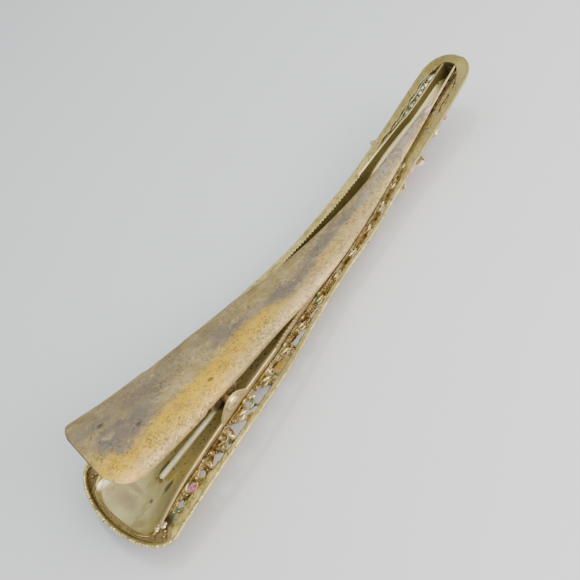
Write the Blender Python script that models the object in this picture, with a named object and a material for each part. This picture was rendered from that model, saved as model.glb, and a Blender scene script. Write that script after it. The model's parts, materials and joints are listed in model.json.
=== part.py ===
"""Beak clip barrette: a cast openwork front, a toothed lower channel and one sprung lever.

The clip lies on its decorated front. X runs from the wide finger end to the tip, Y to its left
and Z up. The origin is at the middle of the clip's bounding box, on the surface it lies on.
Lengths below are in millimetres along the clip ("station" is the distance from the wide end),
and are turned into metres where a mesh is made.
"""

import math

import bmesh
import bpy
import numpy as np
from mathutils import Matrix, Vector

MM = 0.001

# ---- driving dimensions, mm -------------------------------------------------------------------
LENGTH = 129.7
GAP = 0.3                   # clearance between pieces that touch or are soldered together
SHEET = 0.6                 # thickness of the pressed channel and lever

# (station, value) pairs; each list is read through a smooth curve
RIM_HEIGHT = [(0, 6.3), (15, 8.7), (30, 9.3), (45, 8.5), (60, 7.9), (80, 7.8), (105, 10.9), (130, 15.3)]
RIM_HALF_WIDTH = [(0, 14.0), (20, 14.0), (32, 13.4), (44, 12.1), (56, 9.9), (68, 8.35), (80, 7.75),
                  (92, 6.9), (104, 6.5), (116, 6.4), (130, 5.9)]
RIM_TOP_WIDTH = [(0, 1.3), (40, 1.4), (60, 1.0), (95, 1.0), (130, 1.3)]
CHANNEL_HALF_WIDTH = [(2, 9.9), (10, 9.6), (20, 9.3), (32, 8.6), (44, 7.6), (56, 6.6), (68, 6.0),
                      (80, 5.2), (92, 4.3), (104, 3.3), (116, 2.4), (130, 1.9)]
WALL_ABOVE_RIM = [(2, -1.0), (10, 0.3), (30, 1.0), (60, 1.0), (95, 0.6), (130, 0.2)]
FLOOR_BELOW_RIM = [(2, 1.0), (8, 2.2), (16, 2.8), (60, 2.9), (130, 3.1)]
LEVER_HALF_WIDTH = [(7, 10.3), (14, 9.95), (20, 9.5), (32, 8.6), (40, 7.75), (50, 6.9), (57, 6.25),
                    (65, 5.45), (75, 4.4), (85, 3.25), (95, 2.3), (105, 1.5), (113, 0.9)]
LEVER_EDGE_HEIGHT = [(7, 21.3), (14, 19.0), (20, 17.3), (32, 14.6), (40, 13.1), (50, 11.5), (57, 10.1),
                     (65, 9.35), (75, 9.15), (85, 9.7), (95, 10.8), (105, 12.2), (113, 13.5)]
LEVER_DRIFT = [(7, 0.0), (31, 0.0), (45, 0.2), (57, 0.8), (65, 1.35), (75, 1.85), (85, 2.2), (95, 2.35),
               (105, 2.5), (113, 2.65)]           # the bent lever's middle, to the clip's right

RIM_SIDE, RIM_UNDERCUT = 1.5, 0.7       # the rim's outer side: its height, and how far it leans in
SHELF_DROP = 0.6            # the openwork shelf lies this far below the rim's top
CASTING_WALL = 0.9
WIDE_END_ROUND, TIP_ROUND = (6.2, 1.95), (7.1, 2.3)     # reach and squareness of the plan's ends

CHANNEL_START, CHANNEL_END = 2.6, 126.6
CHANNEL_END_ROUND = (4.9, 2.4)
POCKET_ROUNDS = (CHANNEL_END_ROUND, (1.2, 2.5))       # the casting's pocket round the channel
WALL_FLARE = 0.22           # how far the channel's walls lean out, per mm of height
TEETH_START, TEETH_END, TOOTH_PITCH, TOOTH_DEPTH = 45.0, 92.0, 0.9, 0.45

LEVER_START, LEVER_END = 7.0, 112.9
LEVER_WIDE_ROUND, LEVER_TIP_ROUND = (4.6, 3.0), (2.3, 2.3)
LEVER_END_SLANT, LEVER_SLANT_REACH = 0.11, 9.0          # the wide end is cut a little askew
ARCH_RISE = 0.30            # height of the lever's arch over its edges, per mm of half width

PIVOT_STATION, PIVOT_HEIGHT = 30.9, 12.3
RIVET_RADIUS, RIVET_CLEARANCE = 0.90, 0.05
HEAD_RADIUS, HEAD_HEIGHT = 1.8, 0.75
EAR_REACH = 2.1             # from the pivot to the rounded top of each ear
EAR_HALF_LENGTH = 4.2
LEVER_EAR_OFFSET = 7.2      # middle of each lever ear, from the clip's middle plane

SPRING_WIRE, SPRING_RADIUS, SPRING_TURNS = 0.55, 2.1, 6
SPRING_COIL_START, SPRING_COIL_END = -5.6, 1.6
SPRING_FOOT_STATION, SPRING_FOOT_SIDE = 12.7, -2.7

OPENWORK_START, OPENWORK_PITCH, OPENWORK_COUNT = 20.9, 7.33, 14
RING_AFTER_LEAF, RING_HOLE_RADIUS = 4.1, 0.75
STONE_HOLE_RADIUS, RIM_STONE_RADIUS = 1.25, 0.95
STONE_SHARES = (0.35, 0.10, 0.62)       # crown, girdle and pavilion heights, per mm of radius
RIM_STONE_STATION = 14.5

# applied flowers: (name, station, side, petal reach, petals, centre stone radius)
FLOWERS = [("flower_wide", 24.0, 0.0, 8.6, 6, 2.1), ("flower_middle", 62.0, 0.0, 4.9, 5, 1.6),
           ("flower_tip", 104.0, 0.4, 4.4, 5, 1.3)]
FLOWER_SPREAD = 4.0         # a flower's back clears the casting's underside this far both ways
RESTING_STATION = 80.0      # flowers before this station touch the table with their stones
TIP_STONE_DEPTH = 2.6       # from the casting's underside to the table of the last flower's stone
PETAL_LIFT = 0.25           # the lowest point of the petals, above the stone's table
PETAL_THICKNESS = 0.55
CREASED, FACETED = 50, 20   # smoothing angles, degrees
# leaves soldered under the middle: (station, side, heading in degrees from +X, length, half width)
LEAVES = [(11.0, 0.0, 180.0, 9.0, 3.0), (38.0, 3.6, 16.0, 10.5, 2.4), (38.0, -3.6, -16.0, 10.5, 2.4),
          (76.5, 1.9, 3.0, 9.0, 1.5), (76.5, -1.9, -3.0, 9.0, 1.5), (115.5, 0.0, 0.0, 8.5, 1.8),
          (94.0, 1.9, 12.0, 4.6, 1.4), (94.0, -1.9, -12.0, 4.6, 1.4)]
SIDE_LEAF = (103.6, 5.0, 96.0, 4.3, 1.4)               # under the rim's left side, standing out past it
SIDE_LEAF_DROP = 2.1                                    # its top, below the rim's top
BUD_STATION, BUD_SIDE, BUD_RADIUS = 112.6, -2.6, 1.0
# (station, side, radius) of the stones that sit between the flowers
BUD_STONES = [(36.0, 0.0, 1.4), (72.5, 0.0, 1.2), (90.0, 0.0, 1.1), (116.8, -2.9, 0.8)]


def smooth_curve(stations):
    """A smooth function through (station, value) pairs, with a continuous slope."""
    at = np.array([pair[0] for pair in stations], float)
    values = np.array([pair[1] for pair in stations], float)
    slopes = np.gradient(values, at)

    def value(station):
        station = float(np.clip(station, at[0], at[-1]))
        i = int(np.clip(np.searchsorted(at, station) - 1, 0, len(at) - 2))
        span = at[i + 1] - at[i]
        t = (station - at[i]) / span
        return float(
            values[i] * (1 + 2 * t) * (1 - t) ** 2
            + slopes[i] * span * t * (1 - t) ** 2
            + values[i + 1] * t * t * (3 - 2 * t)
            + slopes[i + 1] * span * t * t * (t - 1)
        )

    return value


rim_height = smooth_curve(RIM_HEIGHT)
rim_half_width = smooth_curve(RIM_HALF_WIDTH)
rim_top_width = smooth_curve(RIM_TOP_WIDTH)
channel_half_width = smooth_curve(CHANNEL_HALF_WIDTH)
wall_above_rim = smooth_curve(WALL_ABOVE_RIM)
floor_below_rim = smooth_curve(FLOOR_BELOW_RIM)
lever_half_width = smooth_curve(LEVER_HALF_WIDTH)
lever_drift = smooth_curve(LEVER_DRIFT)
lever_edge_height = smooth_curve(LEVER_EDGE_HEIGHT)


def end_round(distance, reach, power):
    """1 away from an end, falling to 0 at it along a rounded (superellipse) corner."""
    t = min(max(distance / reach, 0.0), 1.0)
    return (1 - (1 - t) ** power) ** (1 / power)


def floor_top(station):
    return rim_height(station) - floor_below_rim(station)


def wall_top(station):
    return rim_height(station) + wall_above_rim(station)


def metres(station, side, height):
    return Vector(((station - LENGTH / 2) * MM, side * MM, height * MM))


def mesh_object(name, points, faces, collection):
    """One object from points in (station, side, height) mm and faces, its normals facing out."""
    mesh = bpy.data.meshes.new(name)
    mesh.from_pydata([metres(*p) for p in points], [], faces)
    work = bmesh.new()
    work.from_mesh(mesh)
    bmesh.ops.recalc_face_normals(work, faces=work.faces)
    work.to_mesh(mesh)
    work.free()
    obj = bpy.data.objects.new(name, mesh)
    collection.objects.link(obj)
    return obj


def loft(name, sections, collection):
    """A closed solid through sections that each hold the same number of points."""
    count = len(sections[0])
    points = [p for section in sections for p in section]
    faces = []
    for i in range(len(sections) - 1):
        for k in range(count):
            n = (k + 1) % count
            faces.append((i * count + k, i * count + n, (i + 1) * count + n, (i + 1) * count + k))
    faces.append(tuple(range(count)))
    last = (len(sections) - 1) * count
    faces.append(tuple(last + k for k in reversed(range(count))))
    return mesh_object(name, points, faces, collection)


def material(name, colour, roughness, metallic):
    made = bpy.data.materials.new(name)
    made.use_nodes = True
    shader = made.node_tree.nodes["Principled BSDF"]
    shader.inputs["Base Color"].default_value = (*colour, 1.0)
    shader.inputs["Roughness"].default_value = roughness
    shader.inputs["Metallic"].default_value = metallic
    return made


def finish(obj, finish_material, smooth_angle=35.0):
    obj.data.materials.clear()
    obj.data.materials.append(finish_material)
    obj.data.shade_smooth()
    obj.data.set_sharp_from_angle(angle=math.radians(smooth_angle))


def boolean(obj, tool, operation):
    modifier = obj.modifiers.new(operation.lower(), "BOOLEAN")
    modifier.operation = operation
    modifier.object = tool
    modifier.solver = "EXACT"


def as_tool(obj):
    obj.hide_render = True
    obj.display_type = "WIRE"
    return obj


def cylinder_y(name, station, height, radius, half_length, collection, segments=24, turn=0.0):
    """A round bar along Y through (station, height)."""
    work = bmesh.new()
    bmesh.ops.create_cone(
        work, cap_ends=True, segments=segments, radius1=radius * MM, radius2=radius * MM,
        depth=2 * half_length * MM, matrix=Matrix.Rotation(math.radians(90), 4, "X"),
    )
    mesh = bpy.data.meshes.new(name)
    work.to_mesh(mesh)
    work.free()
    obj = bpy.data.objects.new(name, mesh)
    obj.location = metres(station, 0.0, height)
    obj.rotation_euler = (turn, 0.0, 0.0)
    collection.objects.link(obj)
    return obj


# ---- cast front -------------------------------------------------------------------------------
def plan_ring(start, end, half_width, height, rounds=(WIDE_END_ROUND, TIP_ROUND), count=44):
    """A closed ring of points: the right side from start to end, then back along the left."""
    right = []
    for i in range(count + 1):
        along = 0.5 - 0.5 * math.cos(math.pi * i / count)
        station = start + (end - start) * along
        side = half_width(station) * end_round(station - start, *rounds[0])
        side *= end_round(end - station, *rounds[1])
        right.append((station, -side, height(station)))
    left = [(s, -y, z) for s, y, z in reversed(right[1:-1])]
    return right + left


def below_rim(drop):
    """The height a given drop below the rim's top, as a function of the station."""
    return lambda station: rim_height(station) - drop


def trough_top(station):
    """The top of the casting's trough, just under the channel's floor."""
    return floor_top(station) - SHEET - GAP - 0.05


def trough_foot(station):
    return channel_half_width(station) - WALL_FLARE * (wall_top(station) - floor_top(station)) + 0.3


def beside_channel(station):
    return channel_half_width(station) + 0.4


def rim_inner(station):
    return rim_half_width(station) - 0.25 - rim_top_width(station)


def front_casting(collection, tools):
    """Rim, pierced shelf and trough as one closed band of plan rings, with the openings cut out."""
    rings = [
        plan_ring(0, LENGTH, rim_half_width, below_rim(0.25)),
        plan_ring(0.25, LENGTH - 0.25, lambda s: rim_half_width(s) - 0.25, below_rim(0.0)),
        plan_ring(1.05, LENGTH - 1.2, rim_inner, below_rim(0.0)),
        plan_ring(1.25, LENGTH - 1.4, lambda s: rim_inner(s) - 0.2, below_rim(SHELF_DROP)),
        plan_ring(1.8, LENGTH - 1.6, beside_channel, below_rim(SHELF_DROP + 0.25), POCKET_ROUNDS),
        plan_ring(2.0, LENGTH - 1.8, trough_foot, trough_top, POCKET_ROUNDS),
        plan_ring(2.8, LENGTH - 2.2, lambda s: trough_foot(s) - 1.0, trough_top, POCKET_ROUNDS),
        plan_ring(2.8, LENGTH - 2.2, lambda s: trough_foot(s) - 0.6, lambda s: trough_top(s) - CASTING_WALL,
                  POCKET_ROUNDS),
        plan_ring(1.6, LENGTH - 1.5, lambda s: trough_foot(s) + 0.6,
                  lambda s: trough_top(s) - 0.5 * CASTING_WALL, POCKET_ROUNDS),
        plan_ring(1.2, LENGTH - 1.3, lambda s: beside_channel(s) + 0.4, below_rim(SHELF_DROP + 1.1),
                  POCKET_ROUNDS),
        plan_ring(RIM_UNDERCUT, LENGTH - RIM_UNDERCUT, lambda s: rim_half_width(s) - RIM_UNDERCUT,
                  below_rim(RIM_SIDE)),
    ]
    count = len(rings[0])
    points = [p for ring in rings for p in ring]
    faces = []
    for i in range(len(rings)):
        if i == 6:
            continue                       # the trough's floor is closed by strips below
        j = (i + 1) % len(rings)
        for k in range(count):
            n = (k + 1) % count
            faces.append((i * count + k, i * count + n, j * count + n, j * count + k))
    half = count // 2
    for ring in (6, 7):
        for k in range(half):
            a, b = ring * count + k, ring * count + k + 1
            c = ring * count + (count - k - 1)
            d = ring * count + (count - k) % count
            corners = [a, b] + ([c] if c != b else []) + ([d] if d != a else [])
            faces.append(tuple(corners))
    casting = mesh_object("front_casting", points, faces, collection)
    boolean(casting, openwork_tool(tools), "DIFFERENCE")
    return casting


def shelf_middle(station):
    """The openwork shelf's middle and half width at a station."""
    outer = rim_half_width(station) - 0.5 - rim_top_width(station)
    inner = channel_half_width(station) + 0.4
    return (outer + inner) / 2, (outer - inner) / 2


def openwork_outlines():
    """Plan outlines of the shelf's openings on the right side, as (station, side) points."""
    outlines = []
    for unit in range(OPENWORK_COUNT):
        leaf = OPENWORK_START + unit * OPENWORK_PITCH
        middle, half = shelf_middle(leaf)
        half = max(half, 0.42)
        outline = []
        for k in range(10):
            angle = 2 * math.pi * k / 10
            along = 1.75 * math.cos(angle)
            across = half * 0.86 * math.sin(angle) * (1 - 0.25 * math.cos(angle))
            outline.append((leaf + along + 0.5 * across, middle + across + 0.12 * along))
        outlines.append(outline)
        ring = leaf + RING_AFTER_LEAF
        middle, half = shelf_middle(ring)
        outlines.append(circle(ring, middle - 0.15, min(RING_HOLE_RADIUS, half * 0.75 + 0.1), 8))
    outlines.append(circle(RIM_STONE_STATION, shelf_middle(RIM_STONE_STATION)[0], STONE_HOLE_RADIUS, 12))
    return outlines


def circle(station, side, radius, count):
    turn = [2 * math.pi * k / count for k in range(count)]
    return [(station + radius * math.cos(a), side + radius * math.sin(a)) for a in turn]


def openwork_tool(tools):
    """Upright prisms through the shelf on both sides, one for each opening."""
    points, faces = [], []
    for outline in openwork_outlines():
        for sign in (-1, 1):
            first, count = len(points), len(outline)
            middle = sum(p[0] for p in outline) / count
            low, high = rim_height(middle) - 4.0, rim_height(middle) + 1.0
            for z in (low, high):
                points.extend((s, sign * y, z) for s, y in outline)
            faces.append(tuple(first + k for k in range(count)))
            faces.append(tuple(first + count + k for k in reversed(range(count))))
            for k in range(count):
                n = (k + 1) % count
                faces.append((first + k, first + n, first + count + n, first + count + k))
    return as_tool(mesh_object("openwork_cutter", points, faces, tools))


# ---- lower channel ----------------------------------------------------------------------------
def channel_section(station):
    """The channel's closed section at a station: up the left wall's outside, down its inside."""
    width = channel_half_width(station) * end_round(station - CHANNEL_START + 0.35, *CHANNEL_END_ROUND)
    top, floor = wall_top(station), floor_top(station)
    top = max(top, floor + SHEET)
    lean = WALL_FLARE * (top - floor)
    foot = width - lean
    bend = min(0.6, 0.3 * foot)
    outer = [(width, top), (foot + 0.12, floor + 0.1), (foot - bend, floor - SHEET), (0.0, floor - SHEET)]
    knee = 0.3
    inner = [(width - SHEET, top), (foot - SHEET + WALL_FLARE * knee, floor + knee),
             (foot - SHEET - 0.5 * bend, floor), (0.0, floor - 0.05)]
    right_outside = [(station, -y, z) for y, z in outer]
    left_outside = [(station, y, z) for y, z in reversed(outer[:-1])]
    left_inside = [(station, y, z) for y, z in inner]
    right_inside = [(station, -y, z) for y, z in reversed(inner[:-1])]
    return right_outside + left_outside + left_inside + right_inside


def ear_outline(reach, foot_half_length, foot_height, steps=8):
    """A rounded ear in (station, height): a foot, two shoulders and an arc about the pivot."""
    outline = [(PIVOT_STATION - foot_half_length, foot_height)]
    for k in range(steps + 1):
        angle = math.radians(160 - 140 * k / steps)
        station = PIVOT_STATION + reach * 1.15 * math.cos(angle)
        outline.append((station, PIVOT_HEIGHT + reach * math.sin(angle)))
    outline.append((PIVOT_STATION + foot_half_length, foot_height))
    return outline


def plate(name, outline, near, far, collection, lean=0.0, hinge_height=0.0):
    """A flat plate between two planes, its outline in (station, height), leaning out with height."""
    sections = []
    for side in (near, far):
        sections.append([(s, side + math.copysign(lean, side) * (z - hinge_height), z) for s, z in outline])
    return loft(name, sections, collection)


def lower_channel(collection, tools):
    start = np.array([0.0, 0.25, 0.7, 1.4, 2.4, 3.6, 5.2]) + CHANNEL_START
    along = np.concatenate([start, np.linspace(11.0, CHANNEL_END, 26)])
    channel = loft("lower_channel", [channel_section(s) for s in along], collection)
    boolean(channel, teeth_tool(tools), "DIFFERENCE")
    foot = wall_top(PIVOT_STATION) - 0.9
    outline = ear_outline(EAR_REACH, EAR_HALF_LENGTH, foot)
    middle = channel_half_width(PIVOT_STATION) - SHEET / 2
    for sign, name in ((-1, "channel_ear_right"), (1, "channel_ear_left")):
        near, far = sign * (middle - SHEET / 2), sign * (middle + SHEET / 2)
        ear = plate(name, outline, near, far, tools, WALL_FLARE, wall_top(PIVOT_STATION))
        boolean(channel, as_tool(ear), "UNION")
    hole = cylinder_y("channel_rivet_hole", PIVOT_STATION, PIVOT_HEIGHT,
                      RIVET_RADIUS + RIVET_CLEARANCE, 14.0, tools)
    boolean(channel, as_tool(hole), "DIFFERENCE")
    return channel


def teeth_tool(tools):
    """A row of V notches across both walls, each as deep as a tooth."""
    points, faces = [], []
    count = int((TEETH_END - TEETH_START) / TOOTH_PITCH)
    for k in range(count):
        station = TEETH_START + k * TOOTH_PITCH
        top = wall_top(station)
        reach = channel_half_width(station) + 2.0
        half = 0.42 * TOOTH_PITCH
        outline = [(station, top - TOOTH_DEPTH), (station + half, top + 0.3), (station - half, top + 0.3)]
        first = len(points)
        for side in (-reach, reach):
            points.extend((s, side, z) for s, z in outline)
        faces += [(first, first + 1, first + 2), (first + 5, first + 4, first + 3)]
        for k3 in range(3):
            n3 = (k3 + 1) % 3
            faces.append((first + k3, first + n3, first + 3 + n3, first + 3 + k3))
    return as_tool(mesh_object("teeth_cutter", points, faces, tools))


# ---- lever ------------------------------------------------------------------------------------
def lever_rounding(station):
    """The share of the lever's width that is left where its two ends are rounded."""
    wide = end_round(station - LEVER_START + 0.25, *LEVER_WIDE_ROUND)
    return wide * end_round(LEVER_END - station + 0.15, *LEVER_TIP_ROUND)


def lever_width(station):
    """Half width of the lever's sheet, drawn in between the channel's ears."""
    width = lever_half_width(station)
    waist = LEVER_EAR_OFFSET + SHEET / 2
    inside = abs(station - PIVOT_STATION) - (EAR_HALF_LENGTH - 0.2)
    blend = min(max(inside / 1.0, 0.0), 1.0)
    return waist + (width - waist) * blend


def lever_section(station, steps=10):
    width = lever_width(station)
    edge = lever_edge_height(station)
    rise = ARCH_RISE * lever_half_width(station)
    middle = -lever_drift(station)
    slant = LEVER_END_SLANT * max(0.0, 1.0 - (station - LEVER_START) / LEVER_SLANT_REACH)
    outer, inner = [], []
    for k in range(steps + 1):
        t = lever_rounding(station) * math.cos(math.pi * (1 - k / steps))
        arch = (1 - abs(t) ** 2.8) ** (1 / 2.8)
        along = station + slant * t * width
        outer.append((along, middle + t * width, edge + rise * arch + SHEET / 2))
        inner.append((along, middle + t * (width - SHEET * 0.75), edge + rise * arch - SHEET / 2))
    return outer + inner[::-1]


def lever_arm(collection, tools):
    start = np.array([0.0, 0.4, 1.1, 2.2, 3.8, 6.0]) + LEVER_START
    waist = [PIVOT_STATION + d for d in (-5.0, -4.0, 0.0, 4.0, 5.0)]
    along = np.concatenate([start, [17.0, 21.5], waist, np.linspace(40.0, LEVER_END - 1.0, 18), [LEVER_END]])
    lever = loft("lever_arm", [lever_section(s) for s in along], collection)
    top = lever_edge_height(PIVOT_STATION) + 0.9
    outline = [(PIVOT_STATION - 3.7, top + 0.3), (PIVOT_STATION - 3.4, PIVOT_HEIGHT + 0.5)]
    for k in range(9):
        angle = math.radians(200 + 140 * k / 8)
        outline.append((PIVOT_STATION + 2.2 * math.cos(angle), PIVOT_HEIGHT + 2.2 * math.sin(angle)))
    outline += [(PIVOT_STATION + 3.4, PIVOT_HEIGHT + 0.5), (PIVOT_STATION + 3.7, top - 0.4)]
    for sign, name in ((-1, "lever_ear_right"), (1, "lever_ear_left")):
        near = sign * (LEVER_EAR_OFFSET - SHEET / 2)
        far = sign * (LEVER_EAR_OFFSET + SHEET / 2)
        boolean(lever, as_tool(plate(name, outline, near, far, tools)), "UNION")
    hole = cylinder_y("lever_rivet_hole", PIVOT_STATION, PIVOT_HEIGHT,
                      RIVET_RADIUS + RIVET_CLEARANCE, 9.0, tools)
    boolean(lever, as_tool(hole), "DIFFERENCE")
    return lever


# ---- rivet and spring -------------------------------------------------------------------------
def pivot_rivet(collection, tools):
    """A bar through all four ears, with a domed head formed against each leaning outer ear."""
    seat = channel_half_width(PIVOT_STATION) + WALL_FLARE * (PIVOT_HEIGHT - wall_top(PIVOT_STATION))
    rivet = cylinder_y("pivot_rivet", PIVOT_STATION, PIVOT_HEIGHT, RIVET_RADIUS, seat + 0.5, collection)
    for sign, name in ((-1, "rivet_head_right"), (1, "rivet_head_left")):
        profile = [(0.0, HEAD_HEIGHT), (0.55, 0.92 * HEAD_HEIGHT), (0.85, 0.62 * HEAD_HEIGHT), (1.0, 0.25),
                   (1.0, 0.0)]
        rings = []
        for radius, out in profile[1:]:
            rings.append([(radius * HEAD_RADIUS, out, 2 * math.pi * k / 16) for k in range(16)])
        lean = math.atan(WALL_FLARE)
        sections = []
        for ring in rings:
            section = []
            for radius, out, angle in ring:
                up = radius * math.sin(angle)
                side = seat + 0.12 + out * math.cos(lean) + up * math.sin(lean)
                height = PIVOT_HEIGHT + up * math.cos(lean) - out * math.sin(lean)
                section.append((PIVOT_STATION + radius * math.cos(angle), sign * side, height))
            sections.append(section)
        boolean(rivet, as_tool(loft(name, sections, tools)), "UNION")
    return rivet


def spring_path():
    """The wire's middle line: foot on the channel floor, coil about the rivet, arm under the lever."""
    foot_height = floor_top(SPRING_FOOT_STATION) + SPRING_WIRE + GAP + 0.1
    path = []
    low = Vector((PIVOT_STATION, SPRING_COIL_START, PIVOT_HEIGHT - SPRING_RADIUS))
    foot = Vector((SPRING_FOOT_STATION, SPRING_FOOT_SIDE, foot_height))
    for k in range(5):
        path.append(foot.lerp(low, k / 5))
    turns = SPRING_TURNS + 0.5
    steps = int(turns * 12)
    for k in range(steps + 1):
        angle = 2 * math.pi * turns * k / steps
        side = SPRING_COIL_START + (SPRING_COIL_END - SPRING_COIL_START) * k / steps
        path.append(Vector((PIVOT_STATION + SPRING_RADIUS * math.sin(angle), side,
                            PIVOT_HEIGHT - SPRING_RADIUS * math.cos(angle))))
    end = Vector((14.5, 0.6, lever_edge_height(14.5) + ARCH_RISE * lever_half_width(14.5) - 1.5))
    high = path[-1]
    for k in range(1, 6):
        path.append(high.lerp(end, k / 5))
    return path


def torsion_spring(collection):
    curve = bpy.data.curves.new("torsion_spring", "CURVE")
    curve.dimensions = "3D"
    curve.bevel_depth = SPRING_WIRE * MM
    curve.bevel_resolution = 2
    curve.use_fill_caps = True
    path = spring_path()
    spline = curve.splines.new("POLY")
    spline.points.add(len(path) - 1)
    for point, place in zip(spline.points, path):
        point.co = (*metres(*place), 1.0)
    obj = bpy.data.objects.new("torsion_spring", curve)
    collection.objects.link(obj)
    return obj


# ---- front ornaments --------------------------------------------------------------------------
def casting_underside(station):
    return trough_top(station) - CASTING_WALL


def flower_back(station):
    """The lowest height of the casting's underside behind a flower."""
    return min(casting_underside(station + d) for d in (-FLOWER_SPREAD, 0.0, FLOWER_SPREAD))


def flower(name, station, side, reach, petals, lowest, collection):
    """Cupped petals round a hub with a seat for the centre stone, opening downwards."""
    base = flower_back(station) - GAP - 0.1
    rings = [(0.0, 0.0), (0.30, 0.0), (0.62, 0.12), (0.86, 0.5), (1.0, 1.0)]
    around = 6 * petals
    drop = base - PETAL_THICKNESS - lowest
    points, faces = [], []
    for layer in (0, 1):
        for share, fall in rings[1:]:
            for k in range(around):
                angle = 2 * math.pi * k / around
                lobe = abs(math.cos(petals * angle / 2)) ** 0.55
                radius = reach * share * (1 - (1 - lobe) * 0.42 * share)
                crease = 0.25 * share * (1 - lobe)
                height = base - layer * PETAL_THICKNESS - drop * fall * (0.55 + 0.45 * lobe) + crease
                points.append((station + radius * math.cos(angle), side + radius * math.sin(angle), height))
    rows = len(rings) - 1
    for layer in (0, 1):
        for row in range(rows - 1):
            for k in range(around):
                a = (layer * rows + row) * around + k
                b = (layer * rows + row) * around + (k + 1) % around
                faces.append((a, b, b + around, a + around))
        faces.append(tuple(layer * rows * around + k for k in range(around)))
    for k in range(around):
        n = (k + 1) % around
        top, bottom = (rows - 1) * around, (2 * rows - 1) * around
        faces.append((top + k, top + n, bottom + n, bottom + k))
    return mesh_object(name, points, faces, collection)


def leaf(name, station, side, heading, length, half_width, base, collection):
    """A pointed boat-shaped leaf, its midrib raised towards the front."""
    turn = math.radians(heading)
    sections = []
    for k in range(7):
        t = k / 6
        width = max(half_width * math.sin(math.pi * min(t * 0.92 + 0.06, 1.0)) ** 0.8, 0.12)
        section = []
        for across, drop in ((-1, 0.45), (0, 0.0), (1, 0.45), (1, 0.95), (0, 0.95), (-1, 0.95)):
            along = t * length
            s = station + along * math.cos(turn) - across * width * math.sin(turn)
            y = side + along * math.sin(turn) + across * width * math.cos(turn)
            keel = 0.25 if (across == 0 and drop > 0.5) else 0.0
            section.append((s, y, base - drop - keel))
        sections.append(section)
    return loft(name, sections, collection)


def stone(name, station, side, table_height, radius, collection):
    """A round faceted stone with its flat table facing down, which is the clip's front."""
    crown, girdle, pavilion = (share * radius for share in STONE_SHARES)
    levels = [(0.58, 0.0), (1.0, crown), (1.0, crown + girdle), (0.18, crown + girdle + pavilion)]
    sections = []
    for share, depth in levels:
        sections.append([(s, y, table_height + depth) for s, y in circle(station, side, share * radius, 10)])
    return loft(name, sections, collection)


def bud(collection):
    """A small round bud soldered under the casting near the tip, on the right."""
    top = casting_underside(BUD_STATION) - GAP - 0.1
    sections = []
    for k in range(1, 8):
        tilt = math.pi * k / 8
        radius = BUD_RADIUS * math.sin(tilt)
        height = top - BUD_RADIUS * (1 - math.cos(tilt))
        sections.append([(s, y, height) for s, y in circle(BUD_STATION, BUD_SIDE, radius, 12)])
    return loft("bud_tip", sections, collection)


def stone_height(radius):
    return sum(STONE_SHARES) * radius


def build():
    for obj in list(bpy.data.objects):
        bpy.data.objects.remove(obj)
    part = bpy.data.collections.new("barrette")
    tools = bpy.data.collections.new("cutters")
    for collection in (part, tools):
        bpy.context.scene.collection.children.link(collection)

    gilt = material("old_gilt", (0.58, 0.50, 0.28), 0.38, 1.0)
    worn = material("worn_gilt", (0.62, 0.53, 0.33), 0.48, 1.0)
    steel = material("spring_steel", (0.70, 0.72, 0.62), 0.35, 1.0)
    paste = material("pink_paste", (0.90, 0.30, 0.48), 0.08, 0.0)

    finish(front_casting(part, tools), gilt)
    finish(lower_channel(part, tools), gilt)
    finish(pivot_rivet(part, tools), gilt)
    spring = torsion_spring(part)
    spring.data.materials.append(steel)

    hinge = bpy.data.objects.new("lever_pivot", None)
    hinge.location = metres(PIVOT_STATION, 0.0, PIVOT_HEIGHT)
    part.objects.link(hinge)
    lever = lever_arm(part, tools)
    finish(lever, worn)
    lever.parent = hinge
    lever.matrix_parent_inverse = Matrix.Translation(-hinge.location)

    stones = 0
    for name, station, side, reach, petals, radius in FLOWERS:
        underside = flower_back(station)
        table = 0.0 if station < RESTING_STATION else underside - TIP_STONE_DEPTH
        finish(flower(name, station, side, reach, petals, table + PETAL_LIFT, part), gilt, CREASED)
        stones += 1
        seat = underside - GAP - PETAL_THICKNESS - GAP
        fitted = min(radius, (seat - table) / sum(STONE_SHARES))
        finish(stone(f"stone_{stones:02d}", station, side, table, fitted, part), paste, FACETED)
    for number, place in enumerate(LEAVES, 1):
        station, reach = place[0], place[3] * math.cos(math.radians(place[2]))
        base = min(casting_underside(station), casting_underside(station + reach)) - GAP - 0.2
        finish(leaf(f"leaf_{number:02d}", *place, base, part), gilt, CREASED)
    base = rim_height(SIDE_LEAF[0]) - SIDE_LEAF_DROP
    finish(leaf(f"leaf_{len(LEAVES) + 1:02d}", *SIDE_LEAF, base, part), gilt, CREASED)
    finish(bud(part), gilt, CREASED)
    for station, side, radius in BUD_STONES:
        stones += 1
        table = casting_underside(station) - GAP - stone_height(radius)
        finish(stone(f"stone_{stones:02d}", station, side, table, radius, part), paste, FACETED)
    for sign in (-1, 1):
        stones += 1
        side = sign * shelf_middle(RIM_STONE_STATION)[0]
        table = rim_height(RIM_STONE_STATION) - SHELF_DROP - 0.7
        rim_stone = stone(f"stone_{stones:02d}", RIM_STONE_STATION, side, table, RIM_STONE_RADIUS, part)
        finish(rim_stone, paste, FACETED)


build()
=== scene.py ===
"""Looks of the beak clip barrette: detailed pieces and worn-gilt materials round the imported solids.

Lengths are in millimetres along the clip: "station" is the distance from the wide end, "side" is
towards the clip's left and "height" is above the table. They become metres where a mesh is made.
"""

import json
import math

import bmesh
import bpy
import numpy as np
from mathutils import Matrix, Vector


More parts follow.
